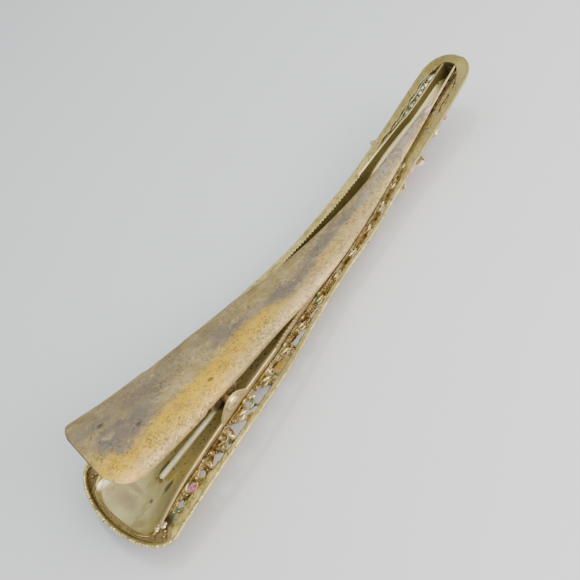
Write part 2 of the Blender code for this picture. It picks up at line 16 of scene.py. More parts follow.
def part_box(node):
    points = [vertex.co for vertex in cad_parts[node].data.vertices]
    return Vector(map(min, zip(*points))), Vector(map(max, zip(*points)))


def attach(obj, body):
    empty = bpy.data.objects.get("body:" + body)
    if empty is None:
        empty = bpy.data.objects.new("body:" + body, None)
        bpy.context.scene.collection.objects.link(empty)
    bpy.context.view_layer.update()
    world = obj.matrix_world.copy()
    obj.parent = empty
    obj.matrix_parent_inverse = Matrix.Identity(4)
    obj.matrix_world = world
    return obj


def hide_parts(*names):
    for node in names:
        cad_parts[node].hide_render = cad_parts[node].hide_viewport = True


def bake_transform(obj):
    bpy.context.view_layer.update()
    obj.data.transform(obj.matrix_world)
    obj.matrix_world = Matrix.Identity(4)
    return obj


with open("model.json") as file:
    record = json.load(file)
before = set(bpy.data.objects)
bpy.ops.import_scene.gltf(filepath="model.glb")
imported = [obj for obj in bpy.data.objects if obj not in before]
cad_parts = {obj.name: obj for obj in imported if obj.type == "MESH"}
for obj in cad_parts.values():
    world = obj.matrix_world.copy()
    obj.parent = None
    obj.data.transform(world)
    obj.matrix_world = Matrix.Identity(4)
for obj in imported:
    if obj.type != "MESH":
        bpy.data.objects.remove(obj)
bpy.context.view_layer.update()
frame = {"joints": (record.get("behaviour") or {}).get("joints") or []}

MM = 0.001

# ---- driving dimensions, mm: the same shapes that the solids have ------------------------------
LENGTH = 129.7
SHEET = 0.6
RIM_HEIGHT = [(0, 6.3), (15, 8.7), (30, 9.3), (45, 8.5), (60, 7.9), (80, 7.8), (105, 10.9), (130, 15.3)]
RIM_HALF_WIDTH = [(0, 14.0), (20, 14.0), (32, 13.4), (44, 12.1), (56, 9.9), (68, 8.35), (80, 7.75),
                  (92, 6.9), (104, 6.5), (116, 6.4), (130, 5.9)]
RIM_BAND = [(0, 0.95), (4, 1.0), (8, 1.9), (13, 2.2), (22, 1.35), (40, 1.35), (60, 1.25), (90, 1.25),
            (106, 1.9), (130, 2.0)]
CHANNEL_HALF_WIDTH = [(2, 9.9), (10, 9.6), (20, 9.3), (32, 8.6), (44, 7.6), (56, 6.6), (68, 6.0),
                      (80, 5.2), (92, 4.3), (104, 3.3), (116, 2.4), (130, 1.9)]
WALL_ABOVE_RIM = [(2, -1.0), (10, 0.3), (30, 1.0), (60, 1.0), (95, 0.6), (130, 0.2)]
FLOOR_BELOW_RIM = [(2, 1.0), (8, 2.2), (16, 2.8), (60, 2.9), (130, 3.1)]
LEVER_HALF_WIDTH = [(7, 10.3), (14, 9.95), (20, 9.5), (32, 8.6), (40, 7.75), (50, 6.9), (57, 6.25),
                    (65, 5.45), (75, 4.4), (85, 3.25), (95, 2.3), (105, 1.5), (113, 0.9)]
LEVER_EDGE_HEIGHT = [(7, 21.3), (14, 19.0), (20, 17.3), (32, 14.6), (40, 13.1), (50, 11.5), (57, 10.1),
                     (65, 9.35), (75, 9.15), (85, 9.7), (95, 10.8), (105, 12.2), (113, 13.5)]
LEVER_DRIFT = [(7, 0.0), (31, 0.0), (45, 0.2), (57, 0.8), (65, 1.35), (75, 1.85), (85, 2.2), (95, 2.35),
               (105, 2.5), (113, 2.65)]

RIM_SIDE, RIM_UNDERCUT, SHELF_DROP, SHELF_THICKNESS = 1.5, 0.7, 0.42, 0.75
WIDE_END_ROUND, TIP_ROUND = (6.2, 1.95), (7.1, 2.3)
CHANNEL_START, CHANNEL_END = 2.1, 126.6
CHANNEL_END_ROUND, POCKET_TIP_ROUND = (4.8, 2.8), (1.2, 2.5)
WALL_FLARE, VISIBLE_FLARE = 0.22, 0.27
TIP_FLOOR_START, TIP_FLOOR_END, TIP_FLOOR_RISE = 92.0, 124.5, 1.7
# the channel lies a little to the left between these stations
SHIFT_START, SHIFT_END, SHIFT_RAMP, CHANNEL_SHIFT = 46.0, 110.0, 14.0, 0.5
POCKET_START, POCKET_END, TROUGH_INSET = 1.9, LENGTH - 1.75, 1.7
RIM_STEP, MILLING_PITCH = 0.26, 0.78
TEETH_START, TEETH_END, TOOTH_PITCH, TOOTH_DEPTH = 45.0, 92.0, 0.9, 0.42
LEVER_START, LEVER_END = 7.0, 112.9
LEVER_WIDE_ROUND, LEVER_TIP_ROUND = (4.6, 3.0), (2.3, 2.3)
LEVER_END_SLANT, LEVER_SLANT_REACH = 0.11, 9.0
ARCH_RISE, ARCH_POWER = 0.30, 2.8
PIVOT = Vector(frame["joints"][0]["pos_m"])
PIVOT_STATION, PIVOT_HEIGHT = PIVOT.x / MM + LENGTH / 2, PIVOT.z / MM
HEAD_RADIUS, HEAD_HEIGHT = 1.8, 0.75
EAR_REACH, EAR_HALF_LENGTH = 2.1, 4.6
LEVER_EAR_OFFSET = 7.2
SPRING_WIRE, SPRING_RADIUS, SPRING_TURNS = 0.55, 2.1, 6.5
SPRING_COIL_START, SPRING_COIL_END = -5.6, 1.6
SPRING_FOOT_STATION, SPRING_FOOT_SIDE = 12.7, -2.7
SPRING_ARM_STATION, SPRING_ARM_SIDE, SPRING_ARM_DROP = 14.5, 0.6, 1.5

# centres of the openwork's leaf-shaped holes; a ring sits before each but the first
FIRST_HOLE_SIZE = 0.80
LEAF_HOLES = [20.9, 27.8, 36.0, 43.3, 50.2, 57.2, 63.8]
SLOT_HOLES = [70.2, 76.6, 83.0, 89.4, 95.4]
RIM_STONE_STATION = 14.5
RIM_BEADS = (5.0, 5.8, 9.2, 9.9, 12.7, 13.0, 16.2, 18.6, 19.3)
SOLDER = ((5.2, -9.3), (6.6, -10.0), (34.6, -9.4), (41.0, -8.6))
LONG_SLOT, RIGHT_SLOT_START = (101.5, 124.5), 112.5

FLOWERS = [("flower_wide", 24.0, 0.0, 8.6, 6, 2.1, "stone_01"),
           ("flower_middle", 62.0, 0.0, 4.9, 5, 1.6, "stone_02"),
           ("flower_tip", 104.0, 0.4, 4.4, 5, 1.3, "stone_03")]
LEAVES = [(11.0, 0.0, 180.0, 9.0, 3.0), (38.0, 3.6, 16.0, 10.5, 2.4), (38.0, -3.6, -16.0, 10.5, 2.4),
          (76.5, 1.9, 3.0, 9.0, 1.5), (76.5, -1.9, -3.0, 9.0, 1.5), (115.5, 0.0, 0.0, 8.5, 1.8),
          (94.0, 1.9, 12.0, 4.6, 1.4), (94.0, -1.9, -12.0, 4.6, 1.4)]
SIDE_LEAF, SIDE_LEAF_DROP = (103.6, 5.0, 96.0, 4.3, 1.4), 2.1
FLOWER_PEG, LEAF_PEG = 1.6, 0.9
BUD_STATION, BUD_SIDE, BUD_RADIUS = 112.6, -2.6, 1.0
BUD_STONES = [(36.0, 0.0, 1.4), (72.5, 0.0, 1.2), (90.0, 0.0, 1.1), (116.8, -2.9, 0.8)]
STONE_SHARES = (0.35, 0.10, 0.62)

RANDOM = np.random.default_rng(7)


# ---- curves and outlines -----------------------------------------------------------------------
def smooth(pairs):
    """A smooth function through (station, value) pairs, for one station or an array of them."""
    at, values = np.array(pairs, float).T
    slopes = np.gradient(values, at)

    def value(station):
        s = np.clip(station, at[0], at[-1])
        i = np.clip(np.searchsorted(at, s) - 1, 0, len(at) - 2)
        span = at[i + 1] - at[i]
        t = (s - at[i]) / span
        return (values[i] * (1 + 2 * t) * (1 - t) ** 2 + slopes[i] * span * t * (1 - t) ** 2
                + values[i + 1] * t * t * (3 - 2 * t) + slopes[i + 1] * span * t * t * (t - 1))

    return value


rim_height, rim_half_width, rim_band = smooth(RIM_HEIGHT), smooth(RIM_HALF_WIDTH), smooth(RIM_BAND)
channel_half_width, wall_above_rim = smooth(CHANNEL_HALF_WIDTH), smooth(WALL_ABOVE_RIM)
floor_below_rim = smooth(FLOOR_BELOW_RIM)
lever_half_width, lever_edge_height = smooth(LEVER_HALF_WIDTH), smooth(LEVER_EDGE_HEIGHT)
lever_drift = smooth(LEVER_DRIFT)


def floor_top(station):
    return rim_height(station) - floor_below_rim(station)


def wall_top(station):
    return rim_height(station) + wall_above_rim(station)


def trough_top(station):
    return floor_top(station) - SHEET - 0.35


def casting_underside(station):
    return trough_top(station) - 0.9


def end_round(distance, reach, power):
    """1 away from an end, falling to 0 at it along a superellipse."""
    t = np.clip(distance / reach, 0.0, 1.0)
    return (1 - (1 - t) ** power) ** (1 / power)


def resampled(loop, step):
    """A closed loop's points, evenly spaced."""
    closed = np.vstack([loop, loop[:1]])
    length = np.concatenate([[0.0], np.cumsum(np.linalg.norm(np.diff(closed, axis=0), axis=1))])
    at = np.linspace(0.0, length[-1], int(length[-1] / step), endpoint=False)
    return np.stack([np.interp(at, length, closed[:, k]) for k in range(loop.shape[1])], axis=1)


def plan_loop(start, end, half_width, rounds, step):
    """A closed plan outline: the right side from start to end, then back along the left."""
    along = 0.5 - 0.5 * np.cos(np.linspace(0.0, math.pi, 900))
    station = start + (end - start) * along
    side = half_width(station) * end_round(station - start, *rounds[0]) * end_round(end - station, *rounds[1])
    right = np.stack([station, -side], axis=1)
    return resampled(np.vstack([right, (right * [1, -1])[-2:0:-1]]), step)


def inset(loop, distance):
    """The loop moved inwards by a distance, which may differ from point to point."""
    tangent = np.roll(loop, -2, axis=0) - np.roll(loop, 2, axis=0)
    normal = np.stack([-tangent[:, 1], tangent[:, 0]], axis=1)
    normal /= np.linalg.norm(normal, axis=1)[:, None]
    return loop + normal * np.reshape(distance, (-1, 1))


def eased(t):
    """A share from 0 to 1, with its ends smoothed."""
    t = np.clip(t, 0.0, 1.0)
    return t * t * (3 - 2 * t)


def rounded_loop(corners, per_side=6):
    """A closed Catmull-Rom curve through a few corners."""
    p = np.asarray(corners, float)
    t = np.linspace(0, 1, per_side, endpoint=False)[:, None]
    a, b, c, d = np.roll(p, 1, axis=0), p, np.roll(p, -1, axis=0), np.roll(p, -2, axis=0)
    spans = [0.5 * (2 * b[i] + (c[i] - a[i]) * t + (2 * a[i] - 5 * b[i] + 4 * c[i] - d[i]) * t ** 2
                    + (3 * b[i] - a[i] - 3 * c[i] + d[i]) * t ** 3) for i in range(len(p))]
    return np.vstack(spans)


# ---- meshes: each maker returns (points, faces) in millimetres ---------------------------------
def grid(rows, close_rows=False, close_columns=True, caps=False):
    rows = np.asarray(rows, float)
    r, c = rows.shape[:2]
    faces = []
    for i in range(r if close_rows else r - 1):
        a, b = i * c, ((i + 1) % r) * c
        for k in range(c if close_columns else c - 1):
            n = (k + 1) % c
            faces.append((a + k, a + n, b + n, b + k))
    if caps:
        faces.append(tuple(reversed(range(c))))
        faces.append(tuple((r - 1) * c + k for k in range(c)))
    return rows.reshape(-1, 3), faces


def joined(shapes):
    points, faces, first = [], [], 0
    for shape_points, shape_faces in shapes:
        points.append(shape_points)
        faces += [tuple(first + k for k in face) for face in shape_faces]
        first += len(shape_points)
    return np.vstack(points), faces


def tube(path, radius, sides=8, closed=False):
    """A round bar along a path, its cross-sections carried along without twist."""
    path = np.asarray(path, float)
    tangent = np.roll(path, -1, 0) - np.roll(path, 1, 0) if closed else np.gradient(path, axis=0)
    tangent /= np.linalg.norm(tangent, axis=1)[:, None]
    up = np.cross(tangent[0], [0.3, 0.9, 0.31])
    angle = np.linspace(0, 2 * math.pi, sides, endpoint=False)
    radius = np.broadcast_to(radius, len(path))
    rows = []
    for point, along, size in zip(path, tangent, radius):
        up = up - along * np.dot(up, along)
        up /= np.linalg.norm(up)
        across = np.cross(along, up)
        rows.append(point + size * (np.outer(np.cos(angle), up) + np.outer(np.sin(angle), across)))
    return grid(rows, closed, True, not closed)


def bead(centre, radius, flat=1.0, sides=8, rings=5):
    tilt = np.linspace(0.12 * math.pi, 0.88 * math.pi, rings)
    angle = np.linspace(0, 2 * math.pi, sides, endpoint=False)
    rows = [[(centre[0] + radius * math.sin(t) * math.cos(a), centre[1] + radius * math.sin(t) * math.sin(a),
              centre[2] + flat * radius * math.cos(t)) for a in angle] for t in tilt]
    return grid(rows, False, True, True)


def lathe(profile, centre, axis, sides=32):
    """A profile of (radius, distance along the axis), turned about an axis through a centre."""
    axis = np.asarray(axis, float) / np.linalg.norm(axis)
    across = np.cross(axis, [1.0, 0.0, 0.0] if abs(axis[0]) < 0.8 else [0.0, 1.0, 0.0])
    across /= np.linalg.norm(across)
    other = np.cross(axis, across)
    angle = np.linspace(0, 2 * math.pi, sides, endpoint=False)
    ring = np.outer(np.cos(angle), across) + np.outer(np.sin(angle), other)
    return grid([np.asarray(centre) + d * axis + r * ring for r, d in profile], False, True, True)


def piece(name, shape, finish, body="base", stands_for=(), smooth_angle=40.0, tone=None):
    """A finished object that rides on a body and, where it has one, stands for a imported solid."""
    points, faces = shape
    mesh = bpy.data.meshes.new(name)
    mesh.from_pydata(((points - [LENGTH / 2, 0, 0]) * MM).tolist(), [], faces)
    work = bmesh.new()
    work.from_mesh(mesh)
    bmesh.ops.recalc_face_normals(work, faces=work.faces)
    work.to_mesh(mesh)
    work.free()
    mesh.shade_smooth()
    mesh.set_sharp_from_angle(angle=math.radians(smooth_angle))
    mesh.materials.append(finish)
    if tone is not None:
        mesh.attributes.new("tone", "FLOAT", "POINT").data.foreach_set("value", np.ravel(tone).astype("f"))
    obj = bpy.data.objects.new(name, mesh)
    bpy.context.scene.collection.objects.link(obj)
    if body:
        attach(obj, body)
    if stands_for:
        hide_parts(*stands_for)
    return obj


# ---- materials ---------------------------------------------------------------------------------
class Finish:
    """A node material: short calls that add a node and hand back its output socket."""

    def __init__(self, name):
        self.material = bpy.data.materials.new(name)
        self.material.use_nodes = True
        self.tree = self.material.node_tree
        self.shader = self.tree.nodes["Principled BSDF"]
        self.place = self.node("TexCoord").outputs["Object"]
        self.x, self.y, self.z = self.node("SeparateXYZ", Vector=self.place).outputs
        self.colour = None

    def node(self, kind, **values):
        """A shader node; a value is a number, a tuple or the socket that it comes from."""
        node = self.tree.nodes.new("ShaderNode" + kind)
        for name, value in values.items():
            self.put(node.inputs[name.replace("_", " ")], value)
        return node

    def put(self, socket, value):
        if isinstance(value, bpy.types.NodeSocket):
            self.tree.links.new(value, socket)
        else:
            socket.default_value = value

    def math(self, operation, first, *others):
        """An operation on two values, carried on from left to right when there are more."""
        for other in others or (0.0,):
            node = self.node("Math")
            node.operation = operation
            self.put(node.inputs[0], first)
            self.put(node.inputs[1], other)
            first = node.outputs[0]
        return first

    def mul(self, *values):
        return self.math("MULTIPLY", *values)

    def add(self, *values):
        return self.math("ADD", *values)

    def less(self, *values):
        return self.math("SUBTRACT", *values)

    def most(self, *values):
        return self.math("MAXIMUM", *values)

    def mapped(self, shift, scale=(1.0, 1.0, 1.0)):
        """The place on the piece, moved so that each texture has a pattern of its own."""
        return self.node("Mapping", Vector=self.place, Location=shift, Scale=scale).outputs[0]

    def noise(self, size_mm, detail=4.0, roughness=0.6, distortion=0.0, stretch=(1.0, 1.0, 1.0), shift=0.0):
        """Noise whose patches are about size_mm across, stretched along each axis."""
        place = self.mapped((shift, shift * 0.7, shift * 0.3), [1.0 / (size_mm * MM * s) for s in stretch])
        return self.node("TexNoise", Vector=place, Scale=1.0, Detail=detail, Roughness=roughness,
                         Distortion=distortion).outputs["Fac"]

    def grain(self, low, high, size_mm, *look, **more):
        """Noise cut to patches: none where it is under low, full where it is over high."""
        return self.step(self.noise(size_mm, *look, **more), low, high)

    def cells(self, size_mm, shift=0.0):
        """Distance to the nearest of scattered points about size_mm apart, in cell widths."""
        place = self.mapped((shift, shift, shift))
        return self.node("TexVoronoi", Vector=place, Scale=1.0 / (size_mm * MM)).outputs["Distance"]

    def tone(self):
        """The piece's own number for each of its surfaces."""
        node = self.tree.nodes.new("ShaderNodeAttribute")
        node.attribute_name = "tone"
        return node.outputs["Fac"]

    def step(self, value, low, high):
        """0 below low, 1 above high, smooth between; low above high turns it round."""
        ends = (0.0, 1.0) if low <= high else (1.0, 0.0)
        low, high = min(low, high), max(low, high)
        node = self.node("MapRange", Value=value, From_Min=low, From_Max=high, To_Min=ends[0], To_Max=ends[1])
        node.interpolation_type = "SMOOTHSTEP"
        return node.outputs[0]

    def along(self, none, full):
        """A mask that rises from one station to another, in millimetres from the wide end."""
        return self.step(self.x, (none - LENGTH / 2) * MM, (full - LENGTH / 2) * MM)

    def across(self, none, full):
        """A mask that rises from one side position to another, in millimetres to the clip's left."""
        return self.step(self.y, none * MM, full * MM)

    def mix(self, share, first, second):
        node = self.tree.nodes.new("ShaderNodeMix")
        node.data_type, node.clamp_factor = "RGBA", True
        self.put(node.inputs["Factor"], share)
        colours = [s for s in node.inputs if s.type == "RGBA"]
        for socket, value in zip(colours, (first, second)):
            self.put(socket, (*value, 1.0) if isinstance(value, tuple) else value)
        return [s for s in node.outputs if s.type == "RGBA"][0]

    def paint_base(self, share, first, second):
        self.colour = self.mix(share, first, second)

    def paint(self, tint, mask, strength=None):
        """Lay a tint over the colour so far, where the mask is."""
        self.colour = self.mix(mask if strength is None else self.mul(mask, strength), self.colour, tint)

    def spot(self, station, side, reach_x, reach_y, soft=0.55, warp=0.5, size_mm=4.0, shift=0.0):
        """1 inside an ellipse on the clip's plan, its edge broken up by noise."""
        dx = self.math("DIVIDE", self.less(self.x, (station - LENGTH / 2) * MM), reach_x * MM)
        dy = self.math("DIVIDE", self.less(self.y, side * MM), reach_y * MM)
        distance = self.math("SQRT", self.add(self.mul(dx, dx), self.mul(dy, dy)))
        wobble = self.mul(self.less(self.noise(size_mm, 5.0, 0.62, 0.3, shift=shift), 0.5), 2.0 * warp)
        return self.step(self.add(distance, wobble), 1.0 + soft, 1.0 - soft)

    def bump(self, height, distance_mm, strength=1.0, before=None):
        node = self.node("Bump", Strength=strength, Distance=distance_mm * MM, Height=height)
        if before is not None:
            self.put(node.inputs["Normal"], before)
        return node.outputs[0]

    def done(self, roughness, metallic, normal=None, **uniform):
        self.put(self.shader.inputs["Base Color"], self.colour)
        self.put(self.shader.inputs["Roughness"], roughness)
        self.put(self.shader.inputs["Metallic"], metallic)
        if normal is not None:
            self.put(self.shader.inputs["Normal"], normal)
        for name, value in uniform.items():
            self.shader.inputs[name.replace("_", " ")].default_value = value
        return self.material


KHAKI, OLIVE, GRIME_AND_SHADE = (0.50, 0.40, 0.105), (0.21, 0.165, 0.045), (0.045, 0.030, 0.012)
PALE, VERDIGRIS, YELLOW = (0.69, 0.56, 0.20), (0.13, 0.27, 0.18), (0.57, 0.36, 0.02)
RUST = (0.16, 0.06, 0.02)


def gilt_casting():
    """Old gilt on the casting: khaki, pale gold on the milled edge, grime and verdigris in the hollows, and
    painted shade on the rim's inner side.
    """
    f = Finish("old_gilt_casting")
    tone = f.tone()
    f.paint_base(f.grain(0.36, 0.62, 6.0, 5.0, 0.65, 0.4), KHAKI, PALE)
    f.paint(OLIVE, f.grain(0.45, 0.62, 1.3, 6.0, 0.72, 0.5, shift=5.7), 0.75)
    dish = f.mul(f.along(6.35, 3.65), f.step(tone, 0.5, 0.1))
    f.paint((0.29, 0.2, 0.075), dish, 0.8)
    edge = f.mul(f.step(tone, 0.55, 0.85), f.grain(0.36, 0.56, 0.8, 4.0, 0.7, shift=3.1))
    edge = f.mul(edge, f.add(0.35, f.mul(f.along(18.85, 8.85), 0.65)))
    f.paint((0.97, 0.82, 0.36), edge, 0.9)
    f.paint((0.34, 0.26, 0.11), f.mul(f.step(tone, 0.22, 0.5), f.step(tone, 0.75, 0.5)))
    cool = f.mul(f.along(14.85, 34.85), f.across(-2.0, -4.0))
    cool = f.mul(cool, f.grain(0.34, 0.56, 1.8, 5.0, 0.7, 0.4, shift=11.0))
    f.paint((0.29, 0.26, 0.13), cool, 0.62)
    tip = f.along(84.85, 114.85)
    f.paint((0.26, 0.21, 0.07), tip, 0.78)
    green = f.mul(f.grain(0.55, 0.66, 4.0, 6.0, 0.72, 0.8, shift=9.3),
                  f.grain(0.42, 0.58, 0.9, 4.0, 0.6, shift=1.3))
    f.paint(VERDIGRIS, green, 0.7)
    # painted shade: the rim's inner side, below the flat band, is darkened
    f.paint((0.1, 0.075, 0.03), f.step(tone, -0.4, -0.9), 0.85)
    residue = f.spot(36.2, -10.9, 1.5, 0.7, 0.4, 0.9, 1.2, 2.0)
    pits = f.mul(f.step(f.cells(0.8, 2.2), 0.32, 0.14), f.grain(0.48, 0.58, 2.4, 4.0, 0.7, shift=4.4))
    pits = f.most(pits, residue)
    f.paint(GRIME_AND_SHADE, pits, 0.9)
    rough = f.add(0.34, f.mul(f.noise(1.2, 5.0, 0.65, shift=7.7), 0.3))
    rough = f.less(rough, f.mul(edge, 0.34))
    scratch = f.noise(0.35, 4.0, 0.6, stretch=(9.0, 1.0, 1.0), shift=6.1)
    height = f.less(f.mul(f.noise(0.5, 5.0, 0.65, shift=8.8), 1.1), pits)
    normal = f.bump(scratch, 0.04, 0.6, f.bump(height, 0.12, 0.9))
    metal = f.add(0.8, f.mul(edge, 0.18))
    return f.done(rough, metal, normal, Specular_IOR_Level=0.25)


def gilt_openwork():
    """The pierced work: brown in its hollows, pale flecks painted in as glints, green towards the tip."""
    f = Finish("old_gilt_openwork")
    f.paint_base(f.grain(0.36, 0.58, 2.0, 5.0, 0.7, 0.5), (0.1, 0.06, 0.018), (0.42, 0.32, 0.125))
    # painted highlight: pale gold flecks that stand in for glints
    f.paint((0.68, 0.53, 0.23), f.grain(0.54, 0.66, 1.0, 4.0, 0.65, 0.3, shift=2.0))
    green = f.grain(0.56, 0.64, 3.2, 6.0, 0.75, 0.9, shift=5.0)
    tip = f.mul(f.along(92.85, 106.85), f.grain(0.4, 0.6, 1.5, 5.0, 0.7, shift=6.0))
    near_ear = f.spot(35.0, -10.4, 2.4, 1.3, 0.5, 0.7, 1.5, 4.0)
    green = f.most(green, tip, near_ear)
    f.paint(VERDIGRIS, green, 0.72)
    wide_end = f.along(7.35, 4.35)
    f.paint((0.27, 0.19, 0.07), wide_end, 0.8)
    slot = f.mul(f.along(108.85, 113.85), f.across(-0.5, -1.5))
    f.paint((0.13, 0.075, 0.02), slot, 0.8)
    slot = f.mul(f.along(98.85, 104.85), f.across(0.5, 1.5))
    f.paint((0.15, 0.13, 0.055), slot, 0.5)
    pits = f.grain(0.58, 0.7, 0.55, 5.0, 0.7, shift=8.0)
    dark = f.most(f.spot(7.2, -10.4, 1.6, 0.9, 0.4, 0.5, 1.0, 6.0),
                  f.spot(37.0, -11.2, 1.3, 0.8, 0.4, 0.9, 1.0, 7.0))
    f.paint(GRIME_AND_SHADE, f.most(pits, dark), 0.85)
    rough = f.add(0.13, f.mul(f.noise(0.8, 4.0, shift=3.0), 0.32))
    normal = f.bump(f.noise(0.45, 4.0, 0.65, shift=1.0), 0.12, 0.9)
    return f.done(rough, 0.85, normal)


def gilt_channel():
    """The channel: pale and smooth at the wide end, ochre and pitted further in, pale teeth; painted shade on
    the left inner wall (olive), near the tip and round the spring's foot, a painted highlight on the floor's
    left bend, painted light on the floor near the tip and beside the lever.
    """
    f = Finish("gilt_channel")
    tone = f.tone()
    f.paint_base(f.grain(0.35, 0.62, 8.0, 5.0, 0.65, 0.5), (0.55, 0.46, 0.15), (0.66, 0.58, 0.27))
    middle = f.mul(f.along(13.35, 19.85), f.along(69.85, 54.85))
    ochre = f.mul(middle, f.grain(0.34, 0.54, 3.0, 5.0, 0.72, 0.4, shift=3.0))
    f.paint((0.58, 0.43, 0.15), ochre, 0.85)
    brown = f.mul(f.grain(0.52, 0.68, 2.6, 6.0, 0.7, 0.5, (2.0, 1.0, 1.0), 6.0), 0.45)
    f.paint((0.27, 0.19, 0.1), brown)
    pinkish = f.most(f.spot(5.6, 1.2, 1.4, 2.6, 0.6, 0.5, 2.0, 8.0),
                     f.spot(8.4, 1.8, 0.6, 2.6, 0.6, 0.5, 2.0, 9.0))
    f.paint((0.36, 0.24, 0.16), pinkish, 0.6)
    tan = f.mul(f.spot(5.8, 4.8, 3.0, 2.6, 0.6, 0.6, 2.6, 18.0), 0.6)
    f.paint((0.42, 0.3, 0.15), tan)
    right = f.mul(f.spot(9.5, -6.2, 4.5, 1.5, 0.6, 0.6, 1.6, 12.0), 0.65)
    f.paint((0.42, 0.3, 0.12), right)
    # painted shade: the floor, outer walls and crest darken towards the channel's end at the tip
    tip = f.mul(f.along(116.85, 124.85), f.step(tone, 0.6, 0.2))
    f.paint((0.13, 0.12, 0.05), tip, 0.85)
    pits = f.mul(f.step(f.cells(0.7, 1.1), 0.34, 0.16), f.grain(0.44, 0.58, 1.8, 4.0, 0.7, shift=4.0),
                 f.along(10.35, 15.85))
    fine = f.mul(f.grain(0.62, 0.7, 0.35, 4.0, 0.7, shift=14.0), 0.6)
    f.paint((0.05, 0.038, 0.014), f.most(pits, fine))
    green = f.most(f.spot(8.3, -3.4, 0.45, 0.3, 0.4, 0.6, 0.5),
                   f.mul(f.along(114.85, 125.85), f.grain(0.48, 0.62, 2.0, 5.0, 0.7, 0.6, shift=2.0)))
    f.paint((0.07, 0.13, 0.055), green, 0.8)
    rust = f.spot(12.5, -2.3, 0.8, 0.5, 0.6, 0.8, 0.7, 3.0)
    f.paint((0.3, 0.13, 0.03), rust, 0.85)
    # painted shade: dark patches on the floor round the spring's foot
    dark = f.most(f.spot(14.3, -1.4, 2.2, 0.5, 0.5, 0.9, 0.8, 5.0),
                  f.spot(12.2, -4.6, 1.6, 0.4, 0.5, 0.9, 0.8, 6.0))
    f.paint(GRIME_AND_SHADE, dark, 0.7)
    # painted shade: the left inner wall is darkened to olive from about station 9 on
    left_wall_shade = f.mul(f.step(tone, 0.25, 0.7), f.across(0.0, 0.6))
    reach = f.mul(f.along(8.85, 19.85), 0.92)
    f.paint((0.15, 0.12, 0.04), f.mul(left_wall_shade, reach))
    # painted highlight on the floor's left bend near the wide end
    glint = f.spot(6.4, 7.9, 2.0, 0.42, 0.7, 0.15, 1.6, 17.0)
    f.paint((1.0, 0.94, 0.76), glint, 0.9)
    crest = f.step(tone, -0.78, -0.96)
    # painted shade: towards the tip the left crest is dulled and the left wall's outer side and crest
    # darkened
    left_tip_shade = f.mul(f.along(92.85, 104.85), f.across(0.0, 0.6))
    crest = f.mul(crest, f.less(1.0, f.mul(left_tip_shade, 0.9)))
    f.paint((0.1, 0.085, 0.032), f.mul(left_tip_shade, f.step(tone, -0.2, -0.5)), 0.92)
    outer = f.mul(f.step(tone, -0.45, -0.58), f.step(tone, -0.82, -0.7))
    f.paint((0.4, 0.3, 0.155), outer, 0.75)
    outer_tip = f.mul(outer, f.along(94.85, 110.85))
    f.paint((0.15, 0.1, 0.03), outer_tip, 0.8)
    # painted light: the floor and the foot of the walls are painted paler and duller near the tip
    lit_floor_paint = f.mul(f.along(90.85, 100.85), f.step(tone, 0.85, 0.45), f.step(tone, -0.4, -0.1))
    lit_floor_paint = f.mul(lit_floor_paint, f.along(122.85, 116.85))
    lit_floor_paint = f.mul(lit_floor_paint, f.less(1.0, f.mul(fine, 0.7)))
    f.paint((0.62, 0.52, 0.25), lit_floor_paint, 0.9)
    # painted shade on the left inner wall near the tip
    f.paint((0.085, 0.066, 0.022), f.mul(left_tip_shade, left_wall_shade), 0.85)
    f.paint((0.7, 0.54, 0.23), crest, 0.8)
    # painted light on the channel's right inside, where the lever shades it, from about station 34 to 69
    lit = f.mul(f.along(33.85, 39.85), f.across(-3.0, -4.5), f.along(68.85, 58.85))
    lit = f.mul(lit, f.step(tone, -0.3, 0.1))
    f.paint((1.0, 0.8, 0.4), f.mul(lit, f.less(0.85, f.mul(pits, 0.6))))
    rough = f.add(0.22, f.mul(f.noise(2.0, 5.0, 0.6, shift=7.0), 0.3))
    rough = f.add(rough, f.mul(f.most(ochre, left_tip_shade), 0.15))
    dull = f.most(ochre, crest, f.mul(f.most(lit_floor_paint, lit), 2.0))
    metal = f.less(0.86, f.mul(dull, 0.35))
    normal = f.bump(f.less(f.mul(f.noise(0.9, 4.0, 0.6), 0.35), pits), 0.08, 0.7)
    return f.done(rough, metal, normal, Specular_IOR_Level=0.25)


# the lever's stains: station, side, reach along, reach across, strength
STREAKS = [(20.0, -6.2, 15.0, 2.3, 0.8), (32.0, -4.6, 12.0, 2.0, 0.8), (46.0, -3.4, 10.0, 2.0, 0.8),
           (9.2, -5.4, 2.2, 4.4, 0.8), (69.0, -3.9, 5.5, 1.1, 0.35), (60.0, -4.2, 5.0, 1.0, 0.12),
           (80.0, -3.2, 4.0, 0.8, 0.3)]
GREYS = [(21.0, 5.4, 15.0, 2.4, 0.45), (12.3, -4.4, 1.6, 1.5, 0.8), (19.0, -2.2, 2.2, 1.2, 0.6),
         (15.5, -1.0, 5.8, 2.9, 0.9), (12.0, 3.6, 3.6, 0.9, 0.8), (22.0, 3.4, 4.5, 1.0, 0.7),
         (10.8, -1.4, 2.2, 2.2, 0.7), (22.0, 1.0, 5.0, 2.0, 0.6), (30.0, 2.0, 5.0, 1.6, 0.35),
         (41.0, 0.6, 4.5, 2.0, 0.8), (48.0, -0.6, 4.0, 1.6, 0.5), (56.0, -2.2, 5.0, 2.2, 0.9),
         (63.0, -2.4, 3.0, 1.5, 0.75), (71.0, -0.9, 8.0, 1.5, 0.85), (81.0, -1.4, 5.0, 1.1, 0.7),
         (98.0, -2.2, 15.0, 1.2, 0.75)]


